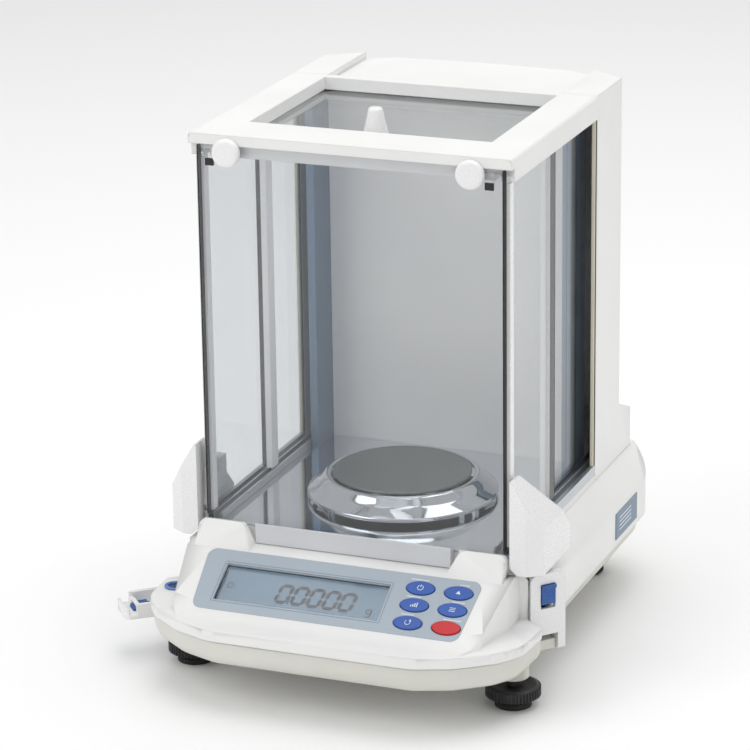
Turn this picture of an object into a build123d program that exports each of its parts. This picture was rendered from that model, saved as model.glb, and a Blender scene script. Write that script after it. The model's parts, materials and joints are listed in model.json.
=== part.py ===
from build123d import *
import math
import os

os.makedirs("parts", exist_ok=True)

# ---------------------------------------------------------------- driving sizes (mm)
total_height = 328.0          # table to the top of the draft shield
shield_width = 197.0          # across the rear housing's sides
chamber_depth = 158.4         # front glass outer face to the rear housing's front edge
pan_diameter = 85.0
pane_thickness = 3.0          # every sliding pane
front_glass_thickness = 4.0
key_length = 17.5
key_height = 9.6
wall = 3.0                    # casing wall
skin = 2.5                    # rear housing wall
lever_length = 46.0
lever_width = 24.0
foot_wheel_diameter = 33.0
lever_swing = 90.0

# ---------------------------------------------------------------- clearances
slide_gap = 0.4               # beside a sliding pane
groove_gap = 0.25             # pane in its groove, each side
rest_gap = 0.3                # parts that pass one another
fit_gap = 0.05                # radial, for turning and plugged fits

# ---------------------------------------------------------------- heights
casing_bottom = 26.0
seam_height = 43.5
seam_gap = 0.8
step_height = 68.0            # top of the base's upright side
shoulder_height = 82.0        # top of the base's sloped shoulder
deck_height = 86.0
floor_thickness = 2.0
floor_height = deck_height + floor_thickness
track_height = 6.5
track_top = deck_height + track_height
groove_floor = floor_height
pane_bottom = groove_floor + rest_gap
frame_depth_z = 14.0
frame_bottom = total_height - frame_depth_z
groove_top = frame_bottom + 4.0
pane_top = groove_top - rest_gap
front_lip = 6.2

# ---------------------------------------------------------------- widths
half = shield_width / 2
frame_half = half + 1.0
shoulder_half = half + 1.0
base_half = half + 16.5
wing_half = base_half + 5.0
outer_pane_out = half - skin - slide_gap
outer_pane_in = outer_pane_out - pane_thickness
pane_spacing = 1.6
inner_pane_out = outer_pane_in - pane_spacing
inner_pane_in = inner_pane_out - pane_thickness
track_in = inner_pane_in - groove_gap - 1.35
floor_half = track_in - 0.2
pillar_half = track_in - 0.2
back_panel_half = pillar_half - 5.0
opening_half = half - 23.2
front_glass_half = half - 4.9

# ---------------------------------------------------------------- depths
front_face = -82.4
glass_front = front_face + 0.2
glass_back = glass_front + front_glass_thickness
housing_front = front_face + chamber_depth
housing_corner = housing_front + 48.5
housing_rear = housing_front + 77.5
rear_of_base = housing_front + 88.0
opening_front = front_face + 34.4
opening_rear = housing_front - 7.0
pillar_front = housing_front - 14.0
back_panel_front = housing_front + 12.0
front_pane_front = glass_back + 1.2
mid_seam = front_pane_front + 82.0
rear_pane_front = mid_seam - 2.0
rear_pane_rear = housing_front + 2.0
door_limit = housing_corner - 2.0
panel_slope = math.degrees(math.atan(0.61))
console_half = half + 3.5
console_front = front_face - 74.6
wing_rear = front_face + 1.0
base_corner_radius = 40.0
sweep_radius = 26.0
tray_inset = 1.5              # bottom casing inside the upper casing's edge
under_radius = 11.0           # its rounded lower edge


def block(x0, x1, y0, y1, z0, z1):
    size = (x1 - x0, y1 - y0, z1 - z0)
    centre = ((x0 + x1) / 2, (y0 + y1) / 2, (z0 + z1) / 2)
    return Pos(*centre) * Box(*size)


def rod(x, y, z0, z1, radius):
    return Pos(x, y, (z0 + z1) / 2) * Cylinder(radius, z1 - z0)


def prism(points, z0, z1):
    outline = make_face(Polyline(*points, close=True))
    return Pos(0, 0, z0) * extrude(outline, z1 - z0, dir=(0, 0, 1))


def long_profile(points, x0, x1):
    """Outline given as (y, z) pairs, drawn out along X."""
    corners = [(x0, y, z) for y, z in points]
    outline = make_face(Polyline(*corners, close=True))
    return extrude(outline, x1 - x0, dir=(1, 0, 0))


def deep_profile(points, y0, y1):
    """Outline given as (x, z) pairs, drawn out along Y."""
    corners = [(x, y0, z) for x, z in points]
    outline = make_face(Polyline(*corners, close=True))
    return extrude(outline, y1 - y0, dir=(0, 1, 0))


def mirrored(points):
    return points + [(-x, y) for x, y in reversed(points)]


def save(name, *shapes):
    pieces = []
    for shape in shapes:
        pieces.extend(shape.solids())
    if len(pieces) == 1:
        result = pieces[0]
    else:
        result = Compound(children=pieces)
    result.label = name
    export_step(result, f"parts/{name}.step")


# ---------------------------------------------------------------- console plane
panel_top_y = front_face - 13.3
panel_top_z = 76.8
slope = math.tan(math.radians(panel_slope))
panel_depth_y = 37.8
panel_mid_y = panel_top_y - panel_depth_y / 2
panel_mid_z = panel_top_z - slope * panel_depth_y / 2
panel_normal = (0, -math.sin(math.radians(panel_slope)), math.cos(math.radians(panel_slope)))
panel_plane = Plane(origin=(0, panel_mid_y, panel_mid_z), x_dir=(1, 0, 0), z_dir=panel_normal)
overlay_depth = 0.8


def on_panel(shape):
    return panel_plane.location * shape


def panel_v(y):
    """Distance up the sloped panel for a depth y."""
    return (y - panel_mid_y) / math.cos(math.radians(panel_slope))


# ---------------------------------------------------------------- base casings
def seam_outline(inset):
    corners = [
        (wing_half - inset, wing_rear),
        (wing_half - 2 - inset, front_face - 34.6 + inset * 0.3),
        (wing_half - 12 - inset * 0.7, front_face - 49.6 + inset * 0.8),
        (wing_half - 33 - inset * 0.5, console_front + 9 + inset * 0.9),
        (wing_half - 57 - inset * 0.2, console_front + inset),
    ]
    return corners


def base_outline(inset, rear_inset):
    side = base_half - inset
    return [(side, wing_rear), (side, rear_of_base - rear_inset)]


def rounded_face(points, height, inset):
    """A flat outline with a large sweep at its front corners and round rear corners."""
    corners = [(x, y, height) for x, y in points]
    outline = make_face(Polyline(*corners, close=True))
    rear = outline.vertices().filter_by(lambda v: v.Y > housing_corner)
    if len(rear) > 0:
        outline = fillet(rear, base_corner_radius - inset)
    front = outline.vertices().filter_by(lambda v: v.Y < front_face - 20)
    if len(front) > 0:
        outline = fillet(front, sweep_radius - inset)
    return outline


def rounded_prism(points, z0, z1, inset):
    return extrude(rounded_face(points, z0, inset), z1 - z0, dir=(0, 0, 1))


def upper_solid(inset, floor_z):
    sides = [
        (base_half - inset, floor_z),
        (base_half - inset, step_height - inset * 0.4),
        (shoulder_half - inset * 0.4, shoulder_height - inset),
    ]
    body = deep_profile(mirrored(sides), front_face + 3.9 + inset, rear_of_base)
    rear_block = rounded_prism(mirrored(base_outline(inset, inset)), floor_z, deck_height, inset)
    body = body & rear_block
    wing_plan = list(reversed(seam_outline(inset))) + [(wing_half - inset, front_face + 8 - inset)]
    wings = rounded_prism(mirrored(wing_plan), floor_z, seam_height + 6.5 - inset, inset)
    console_plan = [
        (console_half - inset, front_face + 4 - inset),
        (console_half - inset, panel_top_y),
        (console_half - 6 - inset, panel_top_y - 36 + inset * 0.3),
        (console_half - 16 - inset * 0.7, console_front + 10 + inset * 0.8),
        (console_half - 36 - inset * 0.3, console_front + 0.6 + inset),
    ]
    console_side = [
        (front_face + 4 - inset, floor_z),
        (console_front + inset, floor_z),
        (console_front + inset, seam_height + 1.5 - inset * 0.5),
        (console_front + 8 + inset * 0.5, seam_height + 5.4 - inset),
        (panel_top_y - panel_depth_y - 4, panel_top_z - slope * (panel_depth_y + 4) - inset * 1.17),
        (panel_top_y, panel_top_z - inset * 1.1),
        (front_face - 0.8, panel_top_z + 1.9 - inset),
        (front_face + 4 - inset, panel_top_z + 1.9 - inset),
    ]
    console = rounded_prism(mirrored(list(reversed(console_plan))), floor_z, deck_height, inset)
    console = console & long_profile(console_side, -wing_half, wing_half)
    deck_half = half - inset * 1.3
    deck = block(-deck_half, deck_half, front_face + 3.9 + inset, housing_front - 0.2, shoulder_height - 8,
                 deck_height - inset)
    rear_deck = block(-half + skin + 0.5 + inset, half - skin - 0.5 - inset, housing_front - 0.5 - inset,
                      housing_corner + 16 - inset, shoulder_height - 8, deck_height - inset)
    return body + wings + console + deck + rear_deck


def horn(side):
    profile = [
        (front_face - 0.9, panel_top_z + 1),
        (front_face - 0.9, 91.0),
        (front_face - 3.4, 91.0),
        (front_face - 13.0, panel_top_z - 0.6),
        (front_face - 13.0, panel_top_z - 4),
        (front_face - 0.9, panel_top_z - 4),
    ]
    piece = long_profile(profile, half - 37.5, half - 1.1)
    face = [
        (half - 29.8, 91.0),
        (half - 1.1, 91.0),
        (half - 1.1, 70.0),
        (half - 40.0, 70.0),
    ]
    outline = make_face(Polyline(*[(x, front_face, z) for x, z in face], close=True))
    shoulders = outline.vertices().filter_by(lambda v: v.Z > 90)
    outline = fillet(shoulders, 4.0)
    piece = piece & extrude(outline, 14, dir=(0, -1, 0))
    if side < 0:
        piece = piece.mirror(Plane.YZ)
    return piece


# lever corner: a frame whose X points out of the casing's corner
lever_angle = 40.0
hinge_radius = 2.0
hinge_x = base_half - 2.2
hinge_y = front_face + 16.9
hinge_z = casing_bottom + 5.0


def corner_frame(side):
    turn = -lever_angle if side > 0 else 180 + lever_angle
    return Location((side * hinge_x, hinge_y, hinge_z), (0, 0, turn))


def at_corner(side, shape):
    return corner_frame(side) * shape


def corner_notch(side):
    notch = block(-6.0, 40, -lever_width / 2 - 1, lever_width / 2 + 1, -20, 62)
    return at_corner(side, notch)


level_x = -(half + 10.5)
level_y = front_face - 17.2
level_z = seam_height + 6.5
level_radius = 5.6


key_columns = [half - 48.0, half - 24.4]
key_rows = [front_face - 21.6, front_face - 32.3, front_face - 43.4]
key_names = ["on_off", "calibrate", "range", "mode", "print", "re_zero"]
key_travel = 0.6
key_proud = 0.8
key_stem = 4.5
key_clear = 0.4
lcd_left = -(half - 26.5)
lcd_right = half - 66.5
lcd_top = front_face - 21.6
lcd_bottom = front_face - 44.6
lcd_recess = 1.8


def key_places():
    places = []
    for y in key_rows:
        for x in key_columns:
            places.append((x, panel_v(y)))
    return places


def key_shape(grow, low, high):
    outline = Ellipse(key_length / 2 + grow, key_height / 2 + grow)
    return Pos(0, 0, low) * extrude(outline, high - low)


def lcd_box(grow, low, high):
    v0 = panel_v(lcd_bottom) - grow
    v1 = panel_v(lcd_top) + grow
    return block(lcd_left - grow, lcd_right + grow, v0, v1, low, high)


def overlay_shape(grow, low, high):
    top_half = half - 11.5 + grow
    low_half = half - 15.2 + grow
    v1 = panel_v(panel_top_y) + grow
    v0 = panel_v(panel_top_y - panel_depth_y) - grow
    outline = make_face(Polyline((-low_half, v0), (low_half, v0), (top_half, v1), (-top_half, v1),
                                 close=True))
    outline = fillet(outline.vertices(), 6)
    return Pos(0, 0, low) * extrude(outline, high - low)


screw_places = [(half - 9.5, front_face - 29.6), (half - 28.5, -18), (half - 28.5, housing_front + 62)]
screw_radius = 1.5
boss_radius = 4.5


def screw_points():
    points = []
    for x, y in screw_places:
        points.append((x, y))
        points.append((-x, y))
    return points


foot_x = half + 3.5
foot_y = front_face - 6.0
foot_block_radius = 9.5
foot_stud_radius = 4.0
foot_block_bottom = 18.0
rear_foot_x = half - 22.5
rear_foot_y = housing_front + 52.0
rear_pad_height = 6.0
spindle_hole = 9.0


def upper_casing():
    shape = upper_solid(0, seam_height)
    cavity = upper_solid(wall, seam_height - 5)
    shape = shape - cavity
    shape = shape + horn(1) + horn(-1)
    outer = upper_solid(0, seam_height)
    for x, y in screw_points():
        boss = rod(x, y, seam_height + 0.3, deck_height + 5, boss_radius)
        shape = shape + (boss & outer)
    shape = shape & block(-200, 200, -300, 300, seam_height, total_height)
    for x, y in screw_points():
        shape = shape - rod(x, y, seam_height - 1, seam_height + 12, screw_radius + fit_gap)
    shape = shape - on_panel(overlay_shape(0.15, -overlay_depth, 20))
    shape = shape - on_panel(lcd_box(0.3, -12, 20))
    for x, v in key_places():
        shape = shape - on_panel(Pos(x, v, 0) * key_shape(key_clear, -12, 5))
    shape = shape - rod(0, 0, 60, 100, spindle_hole)
    shape = shape - rod(level_x, level_y, seam_height - 2, level_z + 2, level_radius + 0.1)
    shape = shape - corner_notch(1) - corner_notch(-1)
    for centre, width in ((-42.0, 31.6), (30.0, 12.4)):
        port = block(centre - width / 2, centre + width / 2, rear_of_base - wall - 1, rear_of_base + 1,
                     50, 62.4)
        shape = shape - port
    return shape


def lower_outline(inset):
    points = list(reversed(seam_outline(inset)))
    points = points + base_outline(inset + 4, inset)
    return mirrored(points)


def tray(inset, z_top, z_bottom, round_under):
    shape = rounded_prism(lower_outline(inset), z_bottom, z_top, inset)
    under = shape.edges().filter_by(lambda e: abs(e.center().Z - z_bottom) < 0.01)
    return fillet(under, round_under)


def bottom_casing():
    top = seam_height - seam_gap
    shape = tray(tray_inset, top, casing_bottom, under_radius)
    cavity = tray(tray_inset + wall, top + 0.01, casing_bottom + wall, under_radius - wall)
    shape = shape - cavity
    for side in (1, -1):
        shape = shape + rod(side * foot_x, foot_y, foot_block_bottom, casing_bottom + 11, foot_block_radius)
        block_low = rod(side * rear_foot_x, rear_foot_y, rear_pad_height, casing_bottom + wall + 1, 15)
        shape = shape + chamfer(block_low.edges().sort_by(Axis.Z)[:1], 2.0)
        lug = block(-26, 3.2, -6.4, 6.4, -3.2, 3.2)
        tongue = at_corner(side, lug)
        shape = shape + tongue
    for x, y in screw_points():
        shape = shape + rod(x, y, casing_bottom + 1, seam_height, boss_radius)
    for side in (1, -1):
        shape = shape - rod(side * foot_x, foot_y, 10, casing_bottom + 12, foot_stud_radius + fit_gap)
        ears = block(-7.2, 40, -lever_width / 2 - 0.5, -6.4, -20, 40)
        ears = ears + block(-7.2, 40, 6.4, lever_width / 2 + 0.5, -20, 40)
        ears = ears + block(-7.2, 40, -lever_width / 2 - 0.5, lever_width / 2 + 0.5, 3.2, 40)
        shape = shape - at_corner(side, ears)
        pin = Rot(90, 0, 0) * Cylinder(hinge_radius + 0.02, 60)
        shape = shape - at_corner(side, pin)
        shape = shape - rod(side * rear_foot_x, rear_foot_y, 0, rear_pad_height + 6, 6)
    for x, y in screw_points():
        shape = shape - rod(x, y, 10, seam_height, screw_radius + fit_gap)
        shape = shape - rod(x, y, 10, casing_bottom + 3.5, 3.2)
    return shape


def screws():
    pieces = []
    for x, y in screw_points():
        shank = rod(x, y, casing_bottom + 1.5, seam_height + 10, screw_radius)
        head = rod(x, y, casing_bottom + 1.3, casing_bottom + 3.5, 3.0)
        slot = block(x - 2.2, x + 2.2, y - 0.4, y + 0.4, casing_bottom, casing_bottom + 2.2)
        pieces.append(shank + head - slot)
    return pieces


save("bottom_casing", bottom_casing())
save("upper_casing", upper_casing())
save("casing_screws", *screws())


# ---------------------------------------------------------------- chamber floor and front bar
def floor_plate():
    plate = block(-floor_half, floor_half, glass_back + 0.6, back_panel_front - 0.3, deck_height,
                  floor_height)
    for side in (1, -1):
        inner = side * (pillar_half + 1)
        outer = side * (back_panel_half - 0.3)
        plate = plate - block(min(inner, outer), max(inner, outer), pillar_front - 0.3, back_panel_front + 1,
                              deck_height - 1, floor_height + 1)
    return plate - rod(0, 0, deck_height - 1, floor_height + 1, spindle_hole)


def front_bar():
    inner = half - 36.5
    body = block(-inner, inner, front_face - 2.6, front_face - 0.9, panel_top_z + 2.1, 91.0)
    body = body + block(-inner, inner, front_face - 0.95, glass_back - 0.2, deck_height + 0.2,
                        glass_bottom - 0.3)
    body = body + block(-inner, inner, front_face - 0.95, front_face + 3.4, panel_top_z + 2.1,
                        deck_height + 0.4)
    body = fillet(body.edges().filter_by(Axis.X).sort_by(Axis.Z)[-2:], 0.5)
    return body


glass_bottom = deck_height + 2.6
save("floor_plate", floor_plate())
save("front_bar", front_bar())


# ---------------------------------------------------------------- console pieces
def key_panel():
    plate = overlay_shape(0, -overlay_depth, 0)
    plate = plate - lcd_box(0, -5, 5)
    for x, v in key_places():
        plate = plate - Pos(x, v, 0) * key_shape(key_clear, -5, 5)
    return on_panel(plate)


def lcd_window():
    return on_panel(lcd_box(0.15, -lcd_recess - 1.2, -lcd_recess) & lcd_box(0.15, -9, -overlay_depth - 0.05))


def lcd_module():
    glass = lcd_box(0.15, -lcd_recess - 4.4, -lcd_recess - 1.3)
    tray = lcd_box(3.0, -lcd_recess - 9.0, -lcd_recess - 4.4)
    ledge = lcd_box(1.0, -lcd_recess - 7.0, -lcd_recess - 4.3)
    return on_panel(glass + ledge + tray)


def key(x, v):
    cap = key_shape(0, -2.6, key_proud)
    cap = fillet(cap.edges().sort_by(Axis.Z)[-1:], 0.5)
    stem = Pos(0, 0, -2.6 - key_stem / 2) * Cylinder(2.0, key_stem)
    return on_panel(Pos(x, v, 0) * (cap + stem))


board_top = -2.6 - key_stem - key_travel - 0.3


def key_board():
    low = panel_v(key_rows[2]) - 7.5
    high = panel_v(key_rows[0]) + 7.5
    plate = block(key_columns[0] - 12, key_columns[1] + 7, low, high, board_top - 1.6, board_top)
    for x, v in key_places():
        for dx in (-3.6, 3.6):
            plate = plate + block(x + dx - 0.5, x + dx + 0.5, v - 2.5, v + 2.5, board_top - 0.1,
                                  board_top + 3)
    return on_panel(plate)


save("key_panel", key_panel())
save("lcd_window", lcd_window())
save("lcd_module", lcd_module())
save("key_board", key_board())
for name, place in zip(key_names, key_places()):
    save(f"key_{name}", key(*place))


# ---------------------------------------------------------------- bubble level
def level_body():
    cup = rod(level_x, level_y, level_z - 5.5, level_z + 0.6, level_radius)
    lip = rod(level_x, level_y, level_z, level_z + 1.1, level_radius + 0.9)
    cup = cup + lip
    return cup - rod(level_x, level_y, level_z - 4.2, level_z + 3, level_radius - 1.2)


def level_vial():
    body = rod(level_x, level_y, level_z - 4.2, level_z + 0.4, level_radius - 1.2)
    dome = Pos(level_x, level_y, level_z - 11.2) * Sphere(12.6)
    return body & dome


save("level_body", level_body())
save("level_vial", level_vial())


# ---------------------------------------------------------------- feet
pad_height = 5.0
wheel_bottom = pad_height + 0.3
wheel_top = wheel_bottom + 8.0


def foot_pad(side):
    x = side * foot_x
    pad = rod(x, foot_y, 0, pad_height - 1.5, 11) + rod(x, foot_y, 0.5, pad_height, 9)
    neck = rod(x, foot_y, pad_height - 0.5, pad_height + 4, 1.9)
    return pad + neck


def foot_wheel(side):
    x = side * foot_x
    radius = foot_wheel_diameter / 2
    wheel = rod(x, foot_y, wheel_bottom, wheel_top, radius - 0.8)
    count = 36
    for step in range(count):
        angle = 2 * math.pi * step / count
        rib = Box(1.6, 1.5, 7.0)
        place = Pos(x + (radius - 0.8) * math.cos(angle), foot_y + (radius - 0.8) * math.sin(angle),
                    (wheel_bottom + wheel_top) / 2)
        wheel = wheel + place * Rot(0, 0, math.degrees(angle)) * rib
    stud = rod(x, foot_y, wheel_top - 1, casing_bottom + 8, foot_stud_radius)
    hole = rod(x, foot_y, wheel_bottom - 1, wheel_bottom + 4.6, 1.9 + fit_gap)
    return wheel + stud - hole


def rear_foot(side):
    x = side * rear_foot_x
    foot = rod(x, rear_foot_y, 0, rear_pad_height, 11.5)
    foot = chamfer(foot.edges().sort_by(Axis.Z)[:1], 1.2)
    return foot + rod(x, rear_foot_y, rear_pad_height - 1, rear_pad_height + 5.8, 5.95)


for side, word in ((-1, "left"), (1, "right")):
    save(f"foot_pad_{word}", foot_pad(side))
    save(f"foot_wheel_{word}", foot_wheel(side))
save("rear_feet", rear_foot(-1), rear_foot(1))


# ---------------------------------------------------------------- inner works
sensor_top = 76.0


def sensor_parts():
    chassis = block(-26, 26, -20, 98, casing_bottom + wall + 0.2, 38)
    rear_post = block(-26, 26, 60, 98, 37, 76)
    tunnel = block(-7, 7, 59, 99, 60, 70)
    pot_outer = rod(0, 120, casing_bottom + wall + 0.2, 56, 19)
    pot_bridge = block(-12, 12, 96, 110, casing_bottom + wall + 0.2, 38)
    pot_gap = rod(0, 120, 38, 60, 15.5) - rod(0, 120, 37, 61, 10)
    chassis = chassis + rear_post + pot_outer + pot_bridge - tunnel - pot_gap
    arms = block(-14, 14, 12, 60, 72.4, 74.0) + block(-14, 14, 12, 60, 42.4, 44.0)
    hanger = block(-16, 16, -13, 13, 41, sensor_top)
    beam = block(-5, 5, 12, 122, 63, 67)
    coil = rod(0, 120, 44, 66.5, 14.2) - rod(0, 120, 43, 62, 11.4)
    lever_side = hanger + arms + beam + coil
    lever_side = lever_side - rod(0, 0, 56, 90, 5 + fit_gap)
    return chassis, lever_side


chassis, lever_side = sensor_parts()
save("force_sensor_chassis", chassis)
save("force_sensor_lever", lever_side)


weight_x = 30.0
weight_y = 30.0
weight_z = 62.0


def cal_weight():
    drum = Pos(weight_x + 8, weight_y, weight_z) * Rot(0, 90, 0) * Cylinder(9, 16)
    groove = Pos(weight_x + 8, weight_y, weight_z) * Rot(0, 90, 0) * (Cylinder(10, 5) - Cylinder(7.5, 5))
    return drum - groove


def weight_lifter():
    base = block(weight_x - 2, weight_x + 28, 16, 44, casing_bottom + wall + 0.2, 38)
    motor = Pos(weight_x + 19, 30, 42) * Rot(90, 0, 0) * Cylinder(7, 24)
    fork = block(weight_x + 6, weight_x + 10, 17, 43, 37, weight_z - 7.5 - rest_gap)
    guide_low = block(weight_x + 6, weight_x + 10, 17, 20.2, 37, 74)
    guide_high = block(weight_x + 6, weight_x + 10, 39.8, 43, 37, 74)
    return base + motor + fork + guide_low + guide_high


save("calibration_weight", cal_weight())
save("weight_lifter", weight_lifter())


def main_board():
    plate = block(-80, -34, -38, 112, casing_bottom + wall + 6, casing_bottom + wall + 7.6)
    chips = block(-74, -58, 10, 26, casing_bottom + wall + 7.5, casing_bottom + wall + 10)
    chips = chips + block(-76, -48, 50, 78, casing_bottom + wall + 7.5, casing_bottom + wall + 19)
    for x in (-76.0, -38.0):
        for y in (-32.0, 106.0):
            chips = chips + rod(x, y, casing_bottom + wall + 0.2, casing_bottom + wall + 6.2, 3)
    chips = chips + block(-62, -48, -34, -20, casing_bottom + wall + 7.5, casing_bottom + wall + 11)
    for x, y in screw_points():
        chips = chips - rod(x, y, 0, 90, boss_radius + 0.8)
        plate = plate - rod(x, y, 0, 90, boss_radius + 0.8)
    return plate + chips


save("main_board", main_board())


# ---------------------------------------------------------------- rear sockets and rating plate
def serial_port():
    shell = block(-42 - 15.6, -42 + 15.6, rear_of_base - 13, rear_of_base + 0.8, 50.2, 62.2)
    mouth = block(-42 - 8.5, -42 + 8.5, rear_of_base - 6, rear_of_base + 2, 52.2, 60.2)
    shell = shell - mouth
    for row, count in ((57.6, 5), (54.8, 4)):
        for step in range(count):
            x = -42 + (step - (count - 1) / 2) * 2.76
            shell = shell + Pos(x, rear_of_base - 3.8, row) * Rot(90, 0, 0) * Cylinder(0.5, 5)
    for x in (-42 - 12.5, -42 + 12.5):
        nut = Pos(x, rear_of_base + 2.0, 56.2) * Rot(90, 0, 0) * extrude(RegularPolygon(2.6, 6), 3, both=True)
        shell = shell + nut - Pos(x, rear_of_base + 2, 56.2) * Rot(90, 0, 0) * Cylinder(1.45, 8)
    return shell


def dc_inlet():
    body = block(30 - 6, 30 + 6, rear_of_base - 14, rear_of_base + 0.6, 50.2, 62.2)
    body = body - Pos(30, rear_of_base - 4.4, 56.2) * Rot(90, 0, 0) * Cylinder(2.85, 10.2)
    return body + Pos(30, rear_of_base - 5.4, 56.2) * Rot(90, 0, 0) * Cylinder(1.0, 8.6)


def rating_plate():
    plate = block(base_half + 0.02, base_half + 0.6, housing_front - 9, housing_front + 34, seam_height + 4.5,
                  step_height - 3)
    return plate


save("serial_port", serial_port())
save("dc_inlet", dc_inlet())
save("rating_plate", rating_plate())


# ---------------------------------------------------------------- rear housing
def housing_plan(inset):
    points = [
        (half - inset, housing_front),
        (half - inset, housing_corner - inset * 0.4),
        (half - 38.5 - inset * 0.4, housing_rear - 2.5 - inset),
        (half - 83.0, housing_rear - inset),
    ]
    return mirrored(points)


recess_half = opening_half + 0.7
recess_depth = 4.5
cavity_top = total_height - recess_depth - skin
bulge_top = 119.0
bulge_rear = rear_of_base - 1.5


def bulge(inset):
    profile = [
        (housing_corner - 10, shoulder_height + 0.2 - 2 * inset),
        (bulge_rear - inset, shoulder_height + 0.2 - 2 * inset),
        (bulge_rear - inset, 102.0 - inset * 0.5),
        (housing_corner - 4 - inset, bulge_top - inset),
        (housing_corner - 10, bulge_top - inset),
    ]
    body = long_profile(profile, -half + inset, half - inset)
    corner = 14.0
    plan = [
        (half - inset, housing_front),
        (half - inset, bulge_rear - inset - corner),
        (half - inset - corner, bulge_rear - inset),
    ]
    return body & prism(mirrored(plan), 60, 140)


def rear_housing():
    low = shoulder_height + 0.2
    shape = prism(housing_plan(0), low, total_height) + bulge(0)
    cavity = prism(housing_plan(skin), low - 1, cavity_top) + bulge(skin)
    cavity = cavity + block(-half + skin, half - skin, housing_front - 1, housing_front + 1, low - 1,
                            cavity_top)
    shape = shape - cavity
    shape = shape - prism([(recess_half, housing_front - 1), (recess_half, housing_rear + 9),
                           (-recess_half, housing_rear + 9), (-recess_half, housing_front - 1)],
                          total_height - recess_depth, total_height + 1)
    vents = None
    for step in range(7):
        z = 148 + 9 * step
        slot = block(-32, 32, housing_rear - 6, housing_rear + 2, z, z + 3)
        vents = slot if vents is None else vents + slot
    return shape - vents


def back_panel():
    sheet = block(-back_panel_half, back_panel_half, back_panel_front, back_panel_front + 2.0,
                  deck_height + 0.2,
                  frame_bottom + 1.6)
    flange = block(-back_panel_half, back_panel_half, housing_front + 0.1, back_panel_front + 2.0,
                   frame_bottom + 0.1, frame_bottom + 1.6)
    return sheet + flange


def rear_pillar(side):
    x0 = back_panel_half
    post = block(x0, pillar_half, pillar_front, back_panel_front + 4, deck_height + 0.2, frame_bottom - 0.2)
    post = post - block(x0 + 1.2, pillar_half - 1.2, pillar_front + 4, back_panel_front + 2.4,
                        deck_height - 1,
                        frame_bottom + 1)
    return post if side > 0 else post.mirror(Plane.YZ)


def column_seal(side):
    x0 = half - skin + 0.1
    strip = block(x0, half - 0.2, housing_front - 1.8, housing_front - 0.1, track_top + 0.3,
                  frame_bottom - 0.3)
    return strip if side > 0 else strip.mirror(Plane.YZ)


save("rear_housing", rear_housing())
save("back_panel", back_panel())
save("rear_pillars", rear_pillar(-1), rear_pillar(1))
save("column_seals", column_seal(-1), column_seal(1))


# ---------------------------------------------------------------- top frame and top door
top_pane_bottom = total_height - 11.0
top_pane_top = top_pane_bottom + pane_thickness
top_pane_half = opening_half + 2.6
top_pane_front = opening_front - 2.2
top_pane_rear = housing_front - 4.0
top_corner_cut = 12.0
knob_y = opening_front + 10.4
knob_z = top_pane_top
thumb_x = opening_half - 0.3
thumb_z = total_height - 10.0
thumb_radius = 2.0


def top_frame():
    shape = block(-frame_half, frame_half, front_face, housing_front - 0.1, frame_bottom, total_height)
    shape = shape - block(-opening_half, opening_half, opening_front, opening_rear, frame_bottom - 1,
                          total_height + 1)
    shape = shape - block(-frame_half - 1, frame_half + 1, front_face - 1, glass_back + 0.2, frame_bottom - 1,
                          total_height - front_lip)
    for side in (1, -1):
        grooves = block(inner_pane_in - groove_gap, inner_pane_out + groove_gap, glass_back,
                        housing_front + 1,
                        frame_bottom - 1, groove_top)
        grooves = grooves + block(outer_pane_in - groove_gap, outer_pane_out + groove_gap, glass_back,
                                  housing_front + 1, frame_bottom - 1, groove_top)
        if side < 0:
            grooves = grooves.mirror(Plane.YZ)
        shape = shape - grooves
    shape = shape - block(-top_pane_half - 0.4, top_pane_half + 0.4, top_pane_front - 0.6, housing_front + 1,
                          top_pane_bottom - 0.3, top_pane_top + 0.3)
    for side in (1, -1):
        hole = Pos(side * thumb_x, front_face + 10, thumb_z) * Rot(90, 0,
                                                                   0) * Cylinder(thumb_radius + fit_gap, 24)
        shape = shape - hole
    outer = shape.edges().filter_by(Axis.Y).filter_by(lambda e: e.center().Z > total_height - 0.1)
    outer = outer.filter_by(lambda e: abs(e.center().X) > frame_half - 0.1)
    shape = fillet(outer, 2.0)
    return shape


def top_pane():
    cut = top_corner_cut
    plan = [
        (top_pane_half, top_pane_front),
        (top_pane_half, top_pane_rear - cut),
        (top_pane_half - cut, top_pane_rear),
    ]
    return prism(mirrored(plan), top_pane_bottom, top_pane_top)


def top_knob():
    outline = make_face(Polyline((0, 0), (9.4, 0), (9.4, 1.6), (7.6, 6.5), (4.4, 18.5), (3.6, 20),
                                 (0, 20), close=True))
    cone = revolve(Plane.XZ * outline, Axis.Z)
    return Pos(0, knob_y, knob_z) * cone


save("top_frame", top_frame())
save("top_pane", top_pane())
save("top_knob", top_knob())


# ---------------------------------------------------------------- front glass
def front_glass():
    top = total_height - front_lip - 0.3
    pane = block(-front_glass_half, front_glass_half, glass_front, glass_back, glass_bottom, top)
    for side in (1, -1):
        x = side * thumb_x
        notch = block(x - 2.6, x + 2.6, glass_front - 1, glass_back + 1, thumb_z, top + 1)
        end = Pos(x, (glass_front + glass_back) / 2, thumb_z) * Rot(90, 0, 0) * Cylinder(2.6, 8)
        pane = pane - notch - end
    return pane


def thumb_screw(side):
    x = side * thumb_x
    outline = make_face(Polyline((0, 0), (8.6, 0), (8.6, 2.6), (7.0, 4.4), (0, 5.0), close=True))
    disc = revolve(Plane.XZ * outline, Axis.Z)
    head = Pos(x, glass_front - rest_gap, thumb_z) * Rot(90, 0, 0) * disc
    start = glass_front - rest_gap - 1
    stop = front_face + 18
    shank = Pos(x, (start + stop) / 2, thumb_z) * Rot(90, 0, 0) * Cylinder(thumb_radius, stop - start)
    return head + shank


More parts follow.
